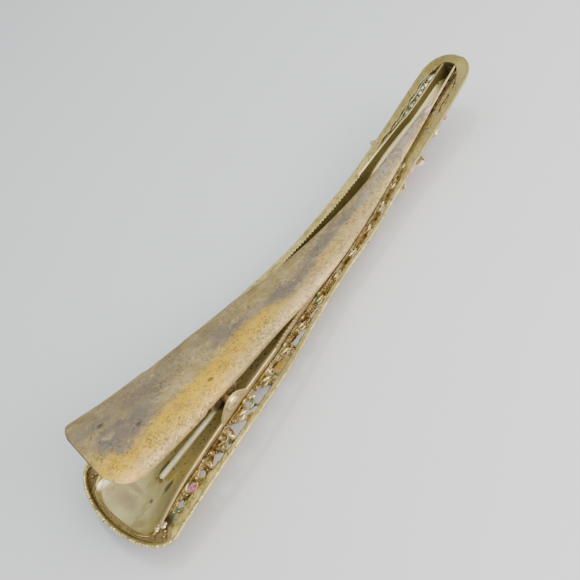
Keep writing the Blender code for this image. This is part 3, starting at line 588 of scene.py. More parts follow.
def worn_lever():
    """The lever's worn gilding: a yellow streak, grey-brown stains, a pinkish tan side, dark specks and
    painted shade on the wide end's edge.
    """
    f = Finish("worn_gilt_lever")
    grain = (1.7, 1.0, 1.0)
    base = f.grain(0.36, 0.62, 5.0, 7.0, 0.68, 0.5, grain)
    f.paint_base(base, (0.3, 0.22, 0.08), (0.42, 0.335, 0.155))
    right_side = f.spot(24.0, -10.2, 22.0, 2.3, 0.5, 0.25, 3.0, 7.0)
    f.paint((0.48, 0.34, 0.14), right_side, 0.8)
    pale_run = f.most(f.spot(58.0, -6.4, 14.0, 1.5, 0.6, 0.3, 3.0, 8.0),
                      f.spot(88.0, -3.4, 26.0, 1.5, 0.6, 0.4, 3.0, 9.0))
    f.paint((0.55, 0.4, 0.18), pale_run, 0.7)
    for number, (station, side, reach_x, reach_y, share) in enumerate(STREAKS):
        streak = f.spot(station, side, reach_x, reach_y, 0.6, 0.75, 3.4, 1.0 + number)
        f.paint(YELLOW, streak, share)
    for number, (station, side, reach_x, reach_y, depth) in enumerate(GREYS):
        patch = f.spot(station, side, reach_x, reach_y, 0.55, 1.0, 2.8, 10.0 + number)
        tint = (0.165, 0.145, 0.12) if station < 90 else (0.36, 0.32, 0.28)
        f.paint(tint, patch, depth)
    green_grey = f.most(f.spot(9.6, 4.0, 3.0, 2.0, 0.6, 0.9, 1.8, 41.0),
                        f.spot(40.0, 3.4, 6.0, 1.4, 0.6, 0.9, 2.0, 42.0))
    f.paint((0.21, 0.185, 0.12), green_grey, 0.55)
    smut = f.mul(f.grain(0.47, 0.58, 0.9, 7.0, 0.8, 0.4, shift=23.0),
                 f.add(0.25, f.mul(f.grain(0.4, 0.58, 6.0, 5.0, 0.7, 0.5, shift=24.0), 0.75)))
    f.paint((0.15, 0.12, 0.075), smut, 0.6)
    mottle = f.grain(0.5, 0.66, 1.4, 8.0, 0.75, 0.4, grain, 21.0)
    f.paint((0.19, 0.14, 0.055), mottle, 0.45)
    pale = f.grain(0.54, 0.67, 1.9, 7.0, 0.72, 0.3, grain, 31.0)
    f.paint((0.56, 0.44, 0.2), pale, 0.45)
    dots = f.mul(f.step(f.cells(0.9, 3.3), 0.22, 0.11), f.grain(0.48, 0.56, 3.5, 3.0, 0.7, shift=12.0))
    fine = f.mul(f.grain(0.53, 0.6, 0.45, 5.0, 0.7, shift=15.0), f.grain(0.4, 0.6, 5.0, 4.0, 0.7, shift=16.0))
    named = f.most(f.spot(77.4, -2.6, 0.3, 0.25, 0.3, 0.3, 0.4), f.spot(12.9, 3.2, 0.6, 0.45, 0.5, 0.7, 0.5))
    named = f.most(named, f.spot(31.5, -5.4, 0.6, 0.45, 0.5, 0.8, 0.6),
                   f.spot(17.2, -2.2, 0.5, 0.4, 0.5, 0.8, 0.5))
    specks = f.most(dots, f.mul(fine, 0.65), named)
    f.paint((0.07, 0.055, 0.03), specks, 0.8)
    f.paint(RUST, f.spot(27.8, -9.0, 0.3, 0.28, 0.4, 0.3, 0.4))
    f.paint((0.74, 0.42, 0.52), f.spot(111.8, -2.9, 1.0, 0.5, 0.5, 0.5, 0.7))
    # painted shade on the lever's edge at its wide end
    f.paint((0.09, 0.055, 0.03), f.step(f.tone(), 0.3, 0.9), 0.8)
    rough = f.add(0.46, f.mul(f.noise(2.0, 5.0, 0.65, shift=18.0), 0.22))
    metal = f.less(0.62, f.mul(mottle, 0.25))
    brushed = f.noise(0.4, 3.0, 0.6, stretch=(7.0, 1.0, 1.0), shift=19.0)
    height = f.less(f.mul(f.noise(1.2, 7.0, 0.7, shift=20.0), 0.9), specks)
    return f.done(rough, metal, f.bump(brushed, 0.03, 0.5, f.bump(height, 0.09, 0.8)),
                  Specular_IOR_Level=0.22)


def dark_ears():
    """The lever's hanging ears: painted dark brown as the shade they hang in, between the lever and the
    channel.
    """
    f = Finish("lever_ears_painted_shade")
    f.paint_base(f.grain(0.4, 0.62, 1.2, 5.0, 0.7), (0.045, 0.03, 0.015), (0.2, 0.145, 0.07))
    rough = f.add(0.5, f.mul(f.noise(0.8, 3.0), 0.2))
    return f.done(rough, 0.6, f.bump(f.noise(0.5, 4.0), 0.06, 0.6))


def spring_wire():
    """Dull plated wire, pale and a little green, with rust at its cut end."""
    f = Finish("spring_wire")
    f.paint_base(f.grain(0.4, 0.62, 1.8, 4.0, 0.6), (0.8, 0.75, 0.42), (0.95, 0.91, 0.6))
    rust = f.mul(f.along(13.05, 12.65), f.grain(0.42, 0.58, 0.5, 4.0, 0.65, shift=2.0))
    f.paint(RUST, rust)
    f.paint(GRIME_AND_SHADE, f.grain(0.62, 0.7, 0.5, 5.0, 0.7, shift=4.0))
    rough = f.add(0.36, f.mul(f.noise(0.8, 3.0), 0.2))
    return f.done(rough, 0.45, f.bump(f.noise(0.3, 3.0), 0.04, 0.5))


def rivet_gold():
    """Rubbed gilt of the rivet's heads, the solder and the bud."""
    f = Finish("rivet_gold")
    f.paint_base(f.grain(0.42, 0.62, 0.9, 4.0, 0.6), (0.6, 0.46, 0.21), (0.82, 0.67, 0.38))
    f.paint((0.16, 0.09, 0.03), f.grain(0.62, 0.72, 0.5, 5.0, 0.7, shift=3.0))
    rough = f.add(0.2, f.mul(f.noise(0.7, 3.0), 0.2))
    return f.done(rough, 0.9, f.bump(f.noise(0.35, 3.0), 0.05, 0.5))


def pink_enamel():
    """Glossy pink enamel, paler towards the rim of each petal, with small chips."""
    f = Finish("pink_enamel")
    f.paint_base(f.grain(0.35, 0.65, 2.0, 3.0, 0.5), (0.78, 0.16, 0.34), (0.9, 0.42, 0.52))
    f.paint((0.45, 0.2, 0.14), f.grain(0.66, 0.74, 0.7, 5.0, 0.7, shift=2.0))
    rough = f.add(0.1, f.mul(f.noise(1.2, 3.0), 0.14))
    return f.done(rough, 0.0, f.bump(f.noise(0.8, 3.0), 0.05, 0.4), Coat_Weight=0.6, Coat_Roughness=0.06)


def pink_paste():
    """Clear pink glass over a foil: tinted, bright, with a faint cloud and small inclusions."""
    f = Finish("pink_paste_glass")
    f.paint_base(f.grain(0.35, 0.68, 0.9, 3.0, 0.5), (0.8, 0.1, 0.3), (0.93, 0.34, 0.5))
    rough = f.add(0.03, f.mul(f.noise(0.6, 3.0), 0.06))
    return f.done(rough, 0.0, f.bump(f.noise(0.7, 2.0), 0.02, 0.2), Transmission_Weight=0.35, IOR=1.58)


CASTING, OPENWORK, CHANNEL, LEVER = gilt_casting(), gilt_openwork(), gilt_channel(), worn_lever()
WIRE, RIVET, ENAMEL, PASTE, EARS = spring_wire(), rivet_gold(), pink_enamel(), pink_paste(), dark_ears()


# ---- cast front: rim, pierced shelf, trough ----------------------------------------------------
RIM_LOOP = plan_loop(0.0, LENGTH, rim_half_width, (WIDE_END_ROUND, TIP_ROUND), RIM_STEP)


def channel_shift(station):
    """How far the channel lies to the left of the clip's middle."""
    ramps = end_round(station - SHIFT_START, SHIFT_RAMP,
                      2.0) * end_round(SHIFT_END - station, SHIFT_RAMP, 2.0)
    return CHANNEL_SHIFT * ramps


def band_width(station, side):
    """Width of the rim's flat band: waved near both ends, and broad in places on each side."""
    wave = 0.22 * np.sin(station * 1.55 + 1.2
                         * np.sign(side)) * end_round(np.clip(station - 98, 0, None), 6.0, 2.0)
    wave += 0.25 * np.sin(station * 1.1) * end_round(np.clip(21 - station, 0, None), 8.0, 2.0)
    width = rim_band(station) + np.where(station < 4.0, 0.0, wave)
    broad = np.clip((station - 54.0) / 6.0, 0, 1) * np.clip((103.0 - station) / 5.0, 0, 1) * (side > 0)
    broad = broad + (np.clip((station - 97.0) / 3.0, 0, 1)
                     * np.clip((113.5 - station) / 2.0, 0, 1) * (side < 0))
    beside = channel_half_width(station) + np.sign(side) * channel_shift(station)
    whole = rim_half_width(station) - beside - 0.1
    width = width + broad * np.maximum(whole - width, 0.0)
    return width + np.clip((station - 121.0) / 4.5, 0, 1) * np.maximum(3.0 - width, 0.0)


def rim():
    """The rim: a side, a milled outer edge, a flat band and an inner side, as one closed ring."""
    station = RIM_LOOP[:, 0]
    top = rim_height(station)
    arc = np.arange(len(RIM_LOOP)) * RIM_STEP
    width = band_width(station, RIM_LOOP[:, 1])
    wide_end = np.clip(1.5 - station / 14.0, 0.0, 1.0)
    milled = (0.03 + 0.05 * wide_end) * np.sin(2 * math.pi * arc / MILLING_PITCH)
    milled = milled + 0.08 * wide_end * np.interp(arc, arc[::3], RANDOM.normal(0, 1, len(arc[::3])))
    cast = 0.05 * np.interp(arc, arc[::9], RANDOM.normal(0, 1, len(arc[::9])))
    tick = -0.30 * np.exp(-((station - 52.0) / 0.35) ** 2) * (RIM_LOOP[:, 1] > 0)
    tick -= 0.50 * np.exp(-((station - 129.2) / 0.7) ** 2 - ((RIM_LOOP[:, 1] + 1.1) / 0.7) ** 2)
    groove = 0.35 + 0.65 * wide_end
    profile = [(RIM_UNDERCUT + 0.3, -RIM_SIDE, 0, 0.6), (RIM_UNDERCUT, -1.42, 0, 0.5), (0.42, -1.05, 0, 0.4),
               (0.20, -0.72, 0, 0.3), (0.06, -0.46, 0, 0.2), (0.0, -0.28, 0, 0.8), (0.08, -0.08, 0.6, 1.0),
               (0.28, 0.0, 1.0, 1.0), (0.48, -0.05 * groove, 0.6, 0.9), (0.62, -0.13 * groove, 0, 0.0),
               (0.76, -0.08 * groove, 0, -0.2)]
    rows, tones = [], []
    for distance, height, ridge, tone in profile:
        plan = inset(RIM_LOOP, distance + 0.3 * np.abs(cast))
        rows.append(np.column_stack([plan, top + height + ridge * (milled + tick) + 0.5 * cast]))
        tones.append(np.full(len(plan), tone))
    for share, extra, height, tone in ((0.7, 0.0, -0.03, -0.2), (1.0, -0.12, -0.06, -0.2),
                                       (1.0, 0.0, -0.22, -1.0), (1.0, 0.08, -1.2, -1.0),
                                       (1.0, -0.35, -RIM_SIDE, -1.0)):
        plan = inset(RIM_LOOP, np.maximum(width * share + extra, 0.82))
        rows.append(np.column_stack([plan, top + height + 0.5 * cast]))
        tones.append(np.full(len(plan), tone))
    return grid(rows, True, True), np.array(tones)


def shelf_span(station):
    """The pierced shelf's inner edge, beside the channel, and its outer edge, under the rim."""
    return channel_half_width(station) - 0.10, rim_half_width(station) - rim_band(station) - 0.10


def on_shelf(station, share, sign, lift=0.0):
    """A point on the shelf: share 0 is beside the channel and 1 is at the rim."""
    inner, outer = shelf_span(station)
    return np.stack([station, sign * (inner + share * (outer - inner)),
                     rim_height(station) - SHELF_DROP + lift], axis=-1)


def leaf_hole(centre, size):
    """A three-cornered leaf, broad towards the wide end and pointed towards the tip and the rim."""
    corners = [(-1.9, 0.06), (-0.2, 0.10), (1.2, 0.44), (2.5, 0.86), (0.2, 0.95), (-2.0, 0.92), (-2.2, 0.45)]
    return np.array([(centre + size * along, share) for along, share in corners])


def shelf_holes():
    """Openings of one side, as closed loops of (station, share of the way to the rim)."""
    holes = []
    for number, centre in enumerate(LEAF_HOLES):
        holes.append(rounded_loop(leaf_hole(centre, FIRST_HOLE_SIZE if number == 0 else 1.0)))
        inner, outer = shelf_span(centre)
        if number:
            radius = 0.9 if number == 2 else 0.55
            ring = centre - 2.9
            turn = np.linspace(0, 2 * math.pi, 20, endpoint=False)
            span = outer - inner
            holes.append(np.stack([ring + radius * np.cos(turn), 0.36 + radius * np.sin(turn) / span],
                                  axis=1))
        slit = centre + 3.3
        holes.append(rounded_loop([(slit - 0.9, 0.80), (slit, 0.70), (slit + 1.1, 0.86), (slit, 0.94)]))
    for centre in SLOT_HOLES:
        holes.append(rounded_loop([(centre - 2.1, 0.55), (centre - 0.6, 0.16), (centre + 1.7, 0.25),
                                   (centre + 2.2, 0.7), (centre + 0.4, 0.9), (centre - 1.5, 0.85)]))
    start, end = LONG_SLOT
    along = np.linspace(start, end, 12)
    wave = 0.10 * np.sin(along * 2.1)
    outer_edge = np.stack([along, 0.84 + wave], axis=1)
    inner_edge = np.stack([along[::-1], 0.10 - 0.4 * wave], axis=1)
    holes.append(rounded_loop(np.vstack([outer_edge, inner_edge]), 4))
    turn = np.linspace(0, 2 * math.pi, 24, endpoint=False)
    inner, outer = shelf_span(RIM_STONE_STATION)
    holes.append(np.stack([RIM_STONE_STATION + 1.15 * np.cos(turn),
                           0.52 + 0.95 * np.sin(turn) / (outer - inner)], axis=1))
    holes.append(rounded_loop([(10.3, 0.35), (11.3, 0.20), (12.0, 0.45), (11.4, 0.72), (10.5, 0.66)]))
    holes.append(rounded_loop([(16.8, 0.55), (17.8, 0.25), (18.3, 0.55), (17.5, 0.85)]))
    return holes


def pierced_shelf():
    """The shelf between rim and channel: a flat outline with holes, filled and bent to the rim's rise."""
    under_rim = np.maximum(band_width(RIM_LOOP[:, 0], RIM_LOOP[:, 1]) - 0.25, 0.72)
    outer = resampled(inset(RIM_LOOP, under_rim), 0.5)
    inner = plan_loop(CHANNEL_START + 0.2, LENGTH - 2.2, lambda s: channel_half_width(s) - 0.22,
                      (CHANNEL_END_ROUND, POCKET_TIP_ROUND), 0.5)
    inner[:, 1] += channel_shift(inner[:, 0])
    loops = [outer, inner]
    for hole in shelf_holes():
        near, far = shelf_span(hole[:, 0])
        side = near + hole[:, 1] * (far - near)
        loops += [np.stack([hole[:, 0], side], axis=1), np.stack([hole[:, 0], -side], axis=1)]
    edge = 0.12
    curve = bpy.data.curves.new("shelf_outline", "CURVE")
    curve.dimensions, curve.fill_mode = "2D", "BOTH"
    curve.extrude, curve.bevel_depth, curve.bevel_resolution = SHELF_THICKNESS / 2 - edge, edge, 1
    curve.offset = -edge
    for loop in loops:
        spline = curve.splines.new("POLY")
        spline.points.add(len(loop) - 1)
        for point, (s, y) in zip(spline.points, loop):
            point.co = (s, y, 0.0, 1.0)
        spline.use_cyclic_u = True
    holder = bpy.data.objects.new("shelf_outline", curve)
    bpy.context.scene.collection.objects.link(holder)
    flat = bpy.data.meshes.new_from_object(holder.evaluated_get(bpy.context.evaluated_depsgraph_get()))
    bpy.data.objects.remove(holder)
    work = bmesh.new()
    work.from_mesh(flat)
    bmesh.ops.remove_doubles(work, verts=work.verts, dist=0.001)
    bmesh.ops.triangulate(work, faces=[f for f in work.faces if len(f.verts) > 4])
    points = np.array([v.co for v in work.verts], float)
    faces = [tuple(v.index for v in f.verts) for f in work.faces]
    work.free()
    bpy.data.meshes.remove(flat)
    points[:, 2] += rim_height(points[:, 0]) - SHELF_DROP - SHELF_THICKNESS / 2
    dish = np.clip((8.0 - points[:, 0]) / 6.0, 0.0, 1.0)
    points[:, 2] -= 0.35 * dish
    return points, faces


def openwork_relief():
    """What stands up from the shelf: rings, beaded edges, small leaves and scrolls, on both sides."""
    shapes = []
    turn = np.linspace(0, 2 * math.pi, 24, endpoint=False)
    for sign in (-1, 1):
        for number, centre in enumerate(LEAF_HOLES):
            inner, outer = shelf_span(centre)
            span = outer - inner
            hole = rounded_loop(leaf_hole(centre, FIRST_HOLE_SIZE if number == 0 else 1.0))
            for k in range(3, 19, 2):
                place = on_shelf(hole[k, 0] + 0.12, hole[k, 1] - 0.05, sign, 0.02)
                shapes.append(bead(place, 0.24 + 0.05 * RANDOM.random(), 0.8))
            wire = on_shelf(hole[24:36, 0], hole[24:36, 1] + 0.03, sign, 0.0)
            shapes.append(tube(wire, 0.17, 6))
            if number:
                radius = 1.15 if number == 2 else 0.85
                ring = np.stack([centre - 2.9 + radius * np.cos(turn), 0.36 + radius * np.sin(turn) / span],
                                axis=1)
                shapes.append(tube(on_shelf(ring[:, 0], ring[:, 1], sign, 0.05), 0.26, 8, True))
            curl = np.linspace(0, 1.6 * math.pi, 14)
            along = centre + 2.2 + 0.95 * np.cos(curl) * (1 - 0.4 * curl / 5)
            share = 0.42 + 0.85 * np.sin(curl) * (1 - 0.4 * curl / 5) / span
            shapes.append(tube(on_shelf(along, share, sign, 0.06), np.linspace(0.3, 0.16, 14), 7))
            leaf_along = np.linspace(0, 1, 9)
            width = 0.10 + 0.42 * np.sin(math.pi * leaf_along) ** 0.8
            body = on_shelf(centre + 1.4 + 2.6 * leaf_along, 0.18 + 0.35 * leaf_along, sign, 0.02)
            shapes.append(tube(body, width, 8))
        for centre in SLOT_HOLES:
            glint = on_shelf(np.linspace(centre + 1.9, centre + 4.2, 7), np.linspace(0.20, 0.62, 7), sign,
                             0.04)
            shapes.append(tube(glint, 0.12 + 0.20 * np.sin(np.linspace(0, math.pi, 7)), 7))
        start, end = LONG_SLOT
        start = start if sign > 0 else RIGHT_SLOT_START
        along = np.linspace(start + 0.5, end - 1.0, 70)
        for phase, drop in ((0.0, -0.25), (2.4, -0.45)):
            share = 0.45 + 0.40 * np.sin(along * 1.45 + phase)
            shapes.append(tube(on_shelf(along, share, sign, drop), 0.20, 6))
        for station in np.arange(start + 1.5, end - 1.0, 2.6):
            share = 0.35 + 0.30 * RANDOM.random()
            shapes.append(bead(on_shelf(station, share, sign, -0.2), 0.38 + 0.14 * RANDOM.random(), 0.7))
        for station in RIM_BEADS:
            place = on_shelf(station, 0.25 + 0.5 * RANDOM.random(), sign, 0.03)
            shapes.append(bead(place, 0.28 + 0.16 * RANDOM.random(), 0.8))
        inner, outer = shelf_span(RIM_STONE_STATION)
        ring = np.stack([RIM_STONE_STATION + 1.3 * np.cos(turn),
                         0.52 + 1.08 * np.sin(turn) / (outer - inner)], axis=1)
        shapes.append(tube(on_shelf(ring[:, 0], ring[:, 1], sign, 0.0), 0.24, 8, True))
    return joined(shapes)


def runs(station, middle, sign, profile):
    """Lines of points along the clip, one for each (side, height) of a profile."""
    return [np.column_stack([station, middle + sign * y, z]) for y, z in profile]


def casting_back():
    """The trough of the casting that the channel lies in: its underside is the middle of the clip's front."""
    along = 0.5 - 0.5 * np.cos(np.linspace(0, math.pi, 220))
    station = POCKET_START + (POCKET_END - POCKET_START) * along
    shrink = (end_round(station - 1.8, *CHANNEL_END_ROUND)
              * end_round(LENGTH - 1.6 - station, *POCKET_TIP_ROUND))
    beside = (channel_half_width(station) - 0.35) * shrink
    flare = VISIBLE_FLARE * (wall_top(station) - floor_top(station))
    foot = np.maximum(channel_half_width(station) - flare - TROUGH_INSET, 0.8) * shrink
    rim_top = rim_height(station)
    near_end = eased(1.0 - np.minimum(station - POCKET_START, POCKET_END - station) / 0.9)
    trough = trough_top(station) + near_end * (rim_top - 1.0 - trough_top(station))
    half = [(beside, rim_top - 0.80), (foot + 0.05 * shrink, trough + 0.4), (foot * 0.85, trough),
            (0 * foot, trough), (0 * foot, trough - 0.9), (foot * 0.8, trough - 0.9),
            (foot + 0.3, trough - 0.5), (beside + 0.1, rim_top - 1.15)]
    middle = channel_shift(station)
    right, left = runs(station, middle, -1, half), runs(station, middle, 1, half)
    order = right[0:4] + left[2::-1] + left[7:4:-1] + [left[4]] + right[5:8]
    return grid(np.stack(order, axis=1), False, True, True)


def front_relief():
    """Scrolls, beads and veins on the front's middle, between the flowers."""
    shapes = []
    station = np.linspace(5.0, 123.0, 420)
    foot = (channel_half_width(station) - VISIBLE_FLARE * (wall_top(station) - floor_top(station))
            - TROUGH_INSET)
    foot = np.maximum(foot, 0.8)
    under = casting_underside(station)
    for sign in (-1, 1):
        edge = np.column_stack([station, sign * (foot + 0.05), under + 0.02])
        shapes.append(tube(edge, 0.24, 6))
        scroll = np.column_stack([station, sign * foot * (0.55 + 0.25 * np.sin(station * 0.62)),
                                  under - 0.02])
        shapes.append(tube(scroll, 0.22 + 0.08 * np.sin(station * 1.24), 6))
        for k in range(0, 420, 6):
            shapes.append(bead((station[k], sign * (foot[k] - 0.6), under[k]), 0.26, 0.8, 6, 4))
        for s in np.arange(8.0, 122.0, 5.07):
            reach = np.interp(s, station, foot)
            start = np.array([s, sign * reach * 0.30, np.interp(s, station, under)])
            step = np.array([2.6, sign * reach * 0.35, 0.0])
            t = np.linspace(0, 1, 8)
            path = start + np.outer(t, step)
            path[:, 2] = np.interp(path[:, 0], station, under)
            shapes.append(tube(path, 0.10 + 0.35 * np.sin(math.pi * t) ** 0.8, 7))
    return joined(shapes)


rim_shape, rim_tones = rim()
piece("casting_rim", rim_shape, CASTING, stands_for=("front_casting",), tone=rim_tones)
piece("openwork_shelf", pierced_shelf(), OPENWORK, smooth_angle=60)
piece("openwork_relief", openwork_relief(), OPENWORK)
piece("casting_back", casting_back(), CASTING, smooth_angle=50)
piece("front_relief", front_relief(), OPENWORK)


# ---- lower channel -----------------------------------------------------------------------------
def channel_stations():
    teeth = np.arange(TEETH_START, TEETH_END, TOOTH_PITCH / 4)
    start = CHANNEL_START + 14.4 * (1 - np.cos(np.linspace(0, math.pi / 2, 46)))
    return np.concatenate([start, np.arange(17.3, TEETH_START - 0.3, 0.3), teeth,
                           np.linspace(TEETH_END, CHANNEL_END, 26)])


def lower_channel():
    """A pressed channel: flared walls with a row of teeth on top, rounded foot, smooth end, two ears."""
    station = channel_stations()
    width = channel_half_width(station) * end_round(station - CHANNEL_START + 0.35, *CHANNEL_END_ROUND)
    floor = floor_top(station)
    top = np.maximum(wall_top(station), floor + SHEET)
    foot = width - VISIBLE_FLARE * (top - floor)
    phase = ((station - TEETH_START) / TOOTH_PITCH) % 1.0
    worn = 0.8 + 0.2 * np.sin(station * 0.9) * np.sin(station * 0.37)
    bite = TOOTH_DEPTH * worn * (1 - np.abs(2 * phase
                                            - 1)) * ((station > TEETH_START) & (station < TEETH_END))
    away = np.clip(np.abs(station - PIVOT_STATION) / EAR_HALF_LENGTH, 0, 1)
    ear = wall_top(PIVOT_STATION) - 0.9 + (PIVOT_HEIGHT + EAR_REACH - wall_top(PIVOT_STATION)
                                           + 0.9) * (1 - away ** 2) ** 1.2
    crest = np.where(away < 1, np.maximum(top, ear), top) - bite
    bend = np.minimum(2.2, 0.42 * foot)

    def wall(height, inward):
        return foot + VISIBLE_FLARE * (height - floor) - inward

    arc = [math.radians(a) for a in (10, 35, 60, 85)]
    half = [(wall(crest - 0.10, 0.0), crest - 0.12),
            (wall(0.5 * (crest + floor), 0.0), 0.5 * (crest + floor))]
    outer_bend = bend + 0.5
    for a in arc:
        half.append((foot + 0.1 - outer_bend * (1 - math.cos(a)),
                     floor + 0.35 * outer_bend - (SHEET + 0.35 * outer_bend) * math.sin(a)))
    half.append((0 * foot, floor - SHEET))
    rise = end_round(station - TIP_FLOOR_START, 12.0, 2.0) * end_round(TIP_FLOOR_END - station, 4.0, 2.0)
    inside = floor + TIP_FLOOR_RISE * rise
    inner = [(0 * foot, inside)]
    for a in reversed(arc):
        inner.append((wall(inside, SHEET) - bend * (1 - math.cos(a)),
                      inside + 0.6 * bend * (1 - math.sin(a))))
    inner += [(wall(0.5 * (crest + inside), SHEET), 0.5 * (crest + inside)),
              (wall(crest - 0.1, SHEET), crest - 0.12),
              (wall(crest, SHEET * 0.75), crest), (wall(crest, SHEET * 0.25), crest)]
    out_tone, in_tone = [-0.66] * len(half), [0.0, 0.0, 0.1, 0.5, 0.9, 1.0, 1.0, -1.0, -1.0]
    ring_tone = out_tone + out_tone[:-1] + in_tone[::-1] + in_tone[1:]
    middle = channel_shift(station)
    rows = runs(station, middle, -1, half) + runs(station, middle, 1, half[-2::-1])
    rows += runs(station, middle, 1, inner[::-1]) + runs(station, middle, -1, inner[1:])
    return grid(np.stack(rows, axis=1), False, True, True), np.tile(ring_tone, len(station))


def solder_blobs():
    """Lumps of solder where the channel meets the casting, at the wide end and beside the pivot."""
    shapes = []
    for station, side in SOLDER:
        height = rim_height(station) - SHELF_DROP + 0.05
        for _ in range(3):
            offset = RANDOM.normal(0, 0.35, 2)
            shapes.append(bead((station + offset[0], side + 0.4 * offset[1], height),
                               0.35 + 0.2 * RANDOM.random(), 0.6, 10, 7))
    return joined(shapes)


channel_shape, channel_tones = lower_channel()
piece("channel", channel_shape, CHANNEL, stands_for=("lower_channel",), smooth_angle=38,
      tone=channel_tones)
piece("channel_solder", solder_blobs(), RIVET)


# ---- rivet and spring --------------------------------------------------------------------------
def rivet():
    seat = channel_half_width(PIVOT_STATION) + WALL_FLARE * (PIVOT_HEIGHT - wall_top(PIVOT_STATION))
    lean = math.atan(WALL_FLARE)
    shapes = [tube([(PIVOT_STATION, y, PIVOT_HEIGHT) for y in np.linspace(-seat, seat, 12)], 0.85, 20)]
    for sign in (-1, 1):
        axis = (0.0, sign * math.cos(lean), -math.sin(lean))
        dome = [(HEAD_RADIUS * math.cos(a), 0.12 + 0.9 * HEAD_HEIGHT * math.sin(a))
                for a in np.linspace(0.05, 1.5, 9)]
        profile = [(0.5 * HEAD_RADIUS, -0.02), (0.97 * HEAD_RADIUS, -0.02), (HEAD_RADIUS, 0.06)] + dome
        shapes.append(lathe(profile, (PIVOT_STATION, sign * (seat + 0.02), PIVOT_HEIGHT), axis, 40))
    return joined(shapes)


def spring_path():
    foot_height = floor_top(SPRING_FOOT_STATION) + SPRING_WIRE + 0.4
    low = np.array([PIVOT_STATION, SPRING_COIL_START, PIVOT_HEIGHT - SPRING_RADIUS])
    foot = np.array([SPRING_FOOT_STATION, SPRING_FOOT_SIDE, foot_height])
    leg = [foot + (low - foot) * t for t in np.linspace(0, 1, 24, endpoint=False)]
    turn = np.linspace(0, 2 * math.pi * SPRING_TURNS, int(SPRING_TURNS * 28))
    side = np.linspace(SPRING_COIL_START, SPRING_COIL_END, len(turn))
    coil = np.column_stack([PIVOT_STATION + SPRING_RADIUS * np.sin(turn), side,
                            PIVOT_HEIGHT - SPRING_RADIUS * np.cos(turn)])
    crown = lever_edge_height(SPRING_ARM_STATION) + ARCH_RISE * lever_half_width(SPRING_ARM_STATION)
    end = np.array([SPRING_ARM_STATION, SPRING_ARM_SIDE, crown - SPRING_ARM_DROP])
    arm = [coil[-1] + (end - coil[-1]) * t for t in np.linspace(0, 1, 20)[1:]]
    return np.vstack([leg, coil, arm])


piece("rivet", rivet(), RIVET, stands_for=("pivot_rivet",))
spring = piece("spring", tube(spring_path(), SPRING_WIRE, 14), WIRE, body=None,
               stands_for=("torsion_spring",), smooth_angle=50)
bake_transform(spring)


# ---- lever -------------------------------------------------------------------------------------
def lever_width(station):
    """Half width of the sheet, drawn in between the channel's ears."""
    waist = LEVER_EAR_OFFSET + SHEET / 2
    blend = eased((np.abs(station - PIVOT_STATION) - 4.0) / 1.6)
    width = lever_half_width(station)
    return waist + 0.75 * (width - waist) + 0.25 * (width - waist) * blend


def lever_arm():
    """The pressed lever: a thin sheet with a flat-topped arch, its sides turned down, a little bent."""
    start = LEVER_START + 9.0 * (1 - np.cos(np.linspace(0, math.pi / 2, 50)))
    tip = LEVER_END - 3.0 * (1 - np.cos(np.linspace(math.pi / 2, 0, 14)))
    station = np.concatenate([start, np.arange(16.5, LEVER_END - 3.2, 0.5), tip])
    width, edge, middle = lever_width(station), lever_edge_height(station), -lever_drift(station)
    rise = ARCH_RISE * lever_half_width(station)
    rounding = end_round(station - LEVER_START + 0.2,
                         *LEVER_WIDE_ROUND) * end_round(LEVER_END - station + 0.12, *LEVER_TIP_ROUND)
    slant = LEVER_END_SLANT * np.clip(1 - (station - LEVER_START) / LEVER_SLANT_REACH, 0, None)
    dent = -0.05 * np.abs(np.interp(station, np.linspace(0, 130, 40), RANDOM.normal(0, 1, 40))) - 0.01
    outer, inner = [], []
    for share in np.sin(np.linspace(-math.pi / 2, math.pi / 2, 41)):
        t = share * rounding
        height = edge + rise * (1 - np.abs(t) ** ARCH_POWER) ** (1 / ARCH_POWER) + dent * (1 - t * t)
        along = station + slant * t * width
        outer.append(np.column_stack([along, middle + t * width, height + SHEET / 2]))
        inner.append(np.column_stack([along, middle + t * (width - 0.75 * SHEET), height - SHEET / 2]))
    middle_right = 0.5 * (outer[0] + inner[0]) - [0, 0.05, 0]
    middle_left = 0.5 * (outer[-1] + inner[-1]) + [0, 0.05, 0]
    rows = np.stack(outer + [middle_left] + inner[::-1] + [middle_right], axis=1)
    tones = np.zeros(rows.shape[:2])
    tones += np.clip(1.3 - (station - LEVER_START) / 0.30, 0.0, 1.0)[:, None]
    return grid(rows, False, True, True), tones


def lever_ears():
    """The lever's two ears: flat plates that hang from the sheet and turn on the rivet."""
    shapes = []
    top = lever_edge_height(PIVOT_STATION) + 0.9
    angle = np.radians(np.linspace(200, 340, 15))
    round_end = [(PIVOT_STATION + 2.2 * math.cos(a), PIVOT_HEIGHT + 2.2 * math.sin(a)) for a in angle]
    outline = [(PIVOT_STATION - 3.7, top), (PIVOT_STATION - 3.4, PIVOT_HEIGHT + 0.5), *round_end,
               (PIVOT_STATION + 3.4, PIVOT_HEIGHT + 0.5), (PIVOT_STATION + 3.7, top - 0.4)]
    for sign in (-1, 1):
        rows = [[(s, sign * (LEVER_EAR_OFFSET + offset), z) for s, z in outline]
                for offset in (-SHEET / 2, SHEET / 2)]
        shapes.append(grid(rows, False, True, True))
    return joined(shapes)


lever_shape, lever_tones = lever_arm()
piece("lever_sheet", lever_shape, LEVER, body="lever", stands_for=("lever_arm",),
      smooth_angle=50, tone=lever_tones)
piece("lever_ears", lever_ears(), EARS, body="lever")


# ---- front: flowers, leaves, bud and stones ----------------------------------------------------
def turned_sheet(rows, station, side, heading):
    """A closed sheet, turned to its heading on the clip's plan and put in its place."""
    rows, turn = np.array(rows), math.radians(heading)
    s = station + rows[..., 0] * math.cos(turn) - rows[..., 1] * math.sin(turn)
    y = side + rows[..., 0] * math.sin(turn) + rows[..., 1] * math.cos(turn)
    return grid(np.stack([s, y, rows[..., 2]], axis=-1), False, True, True)


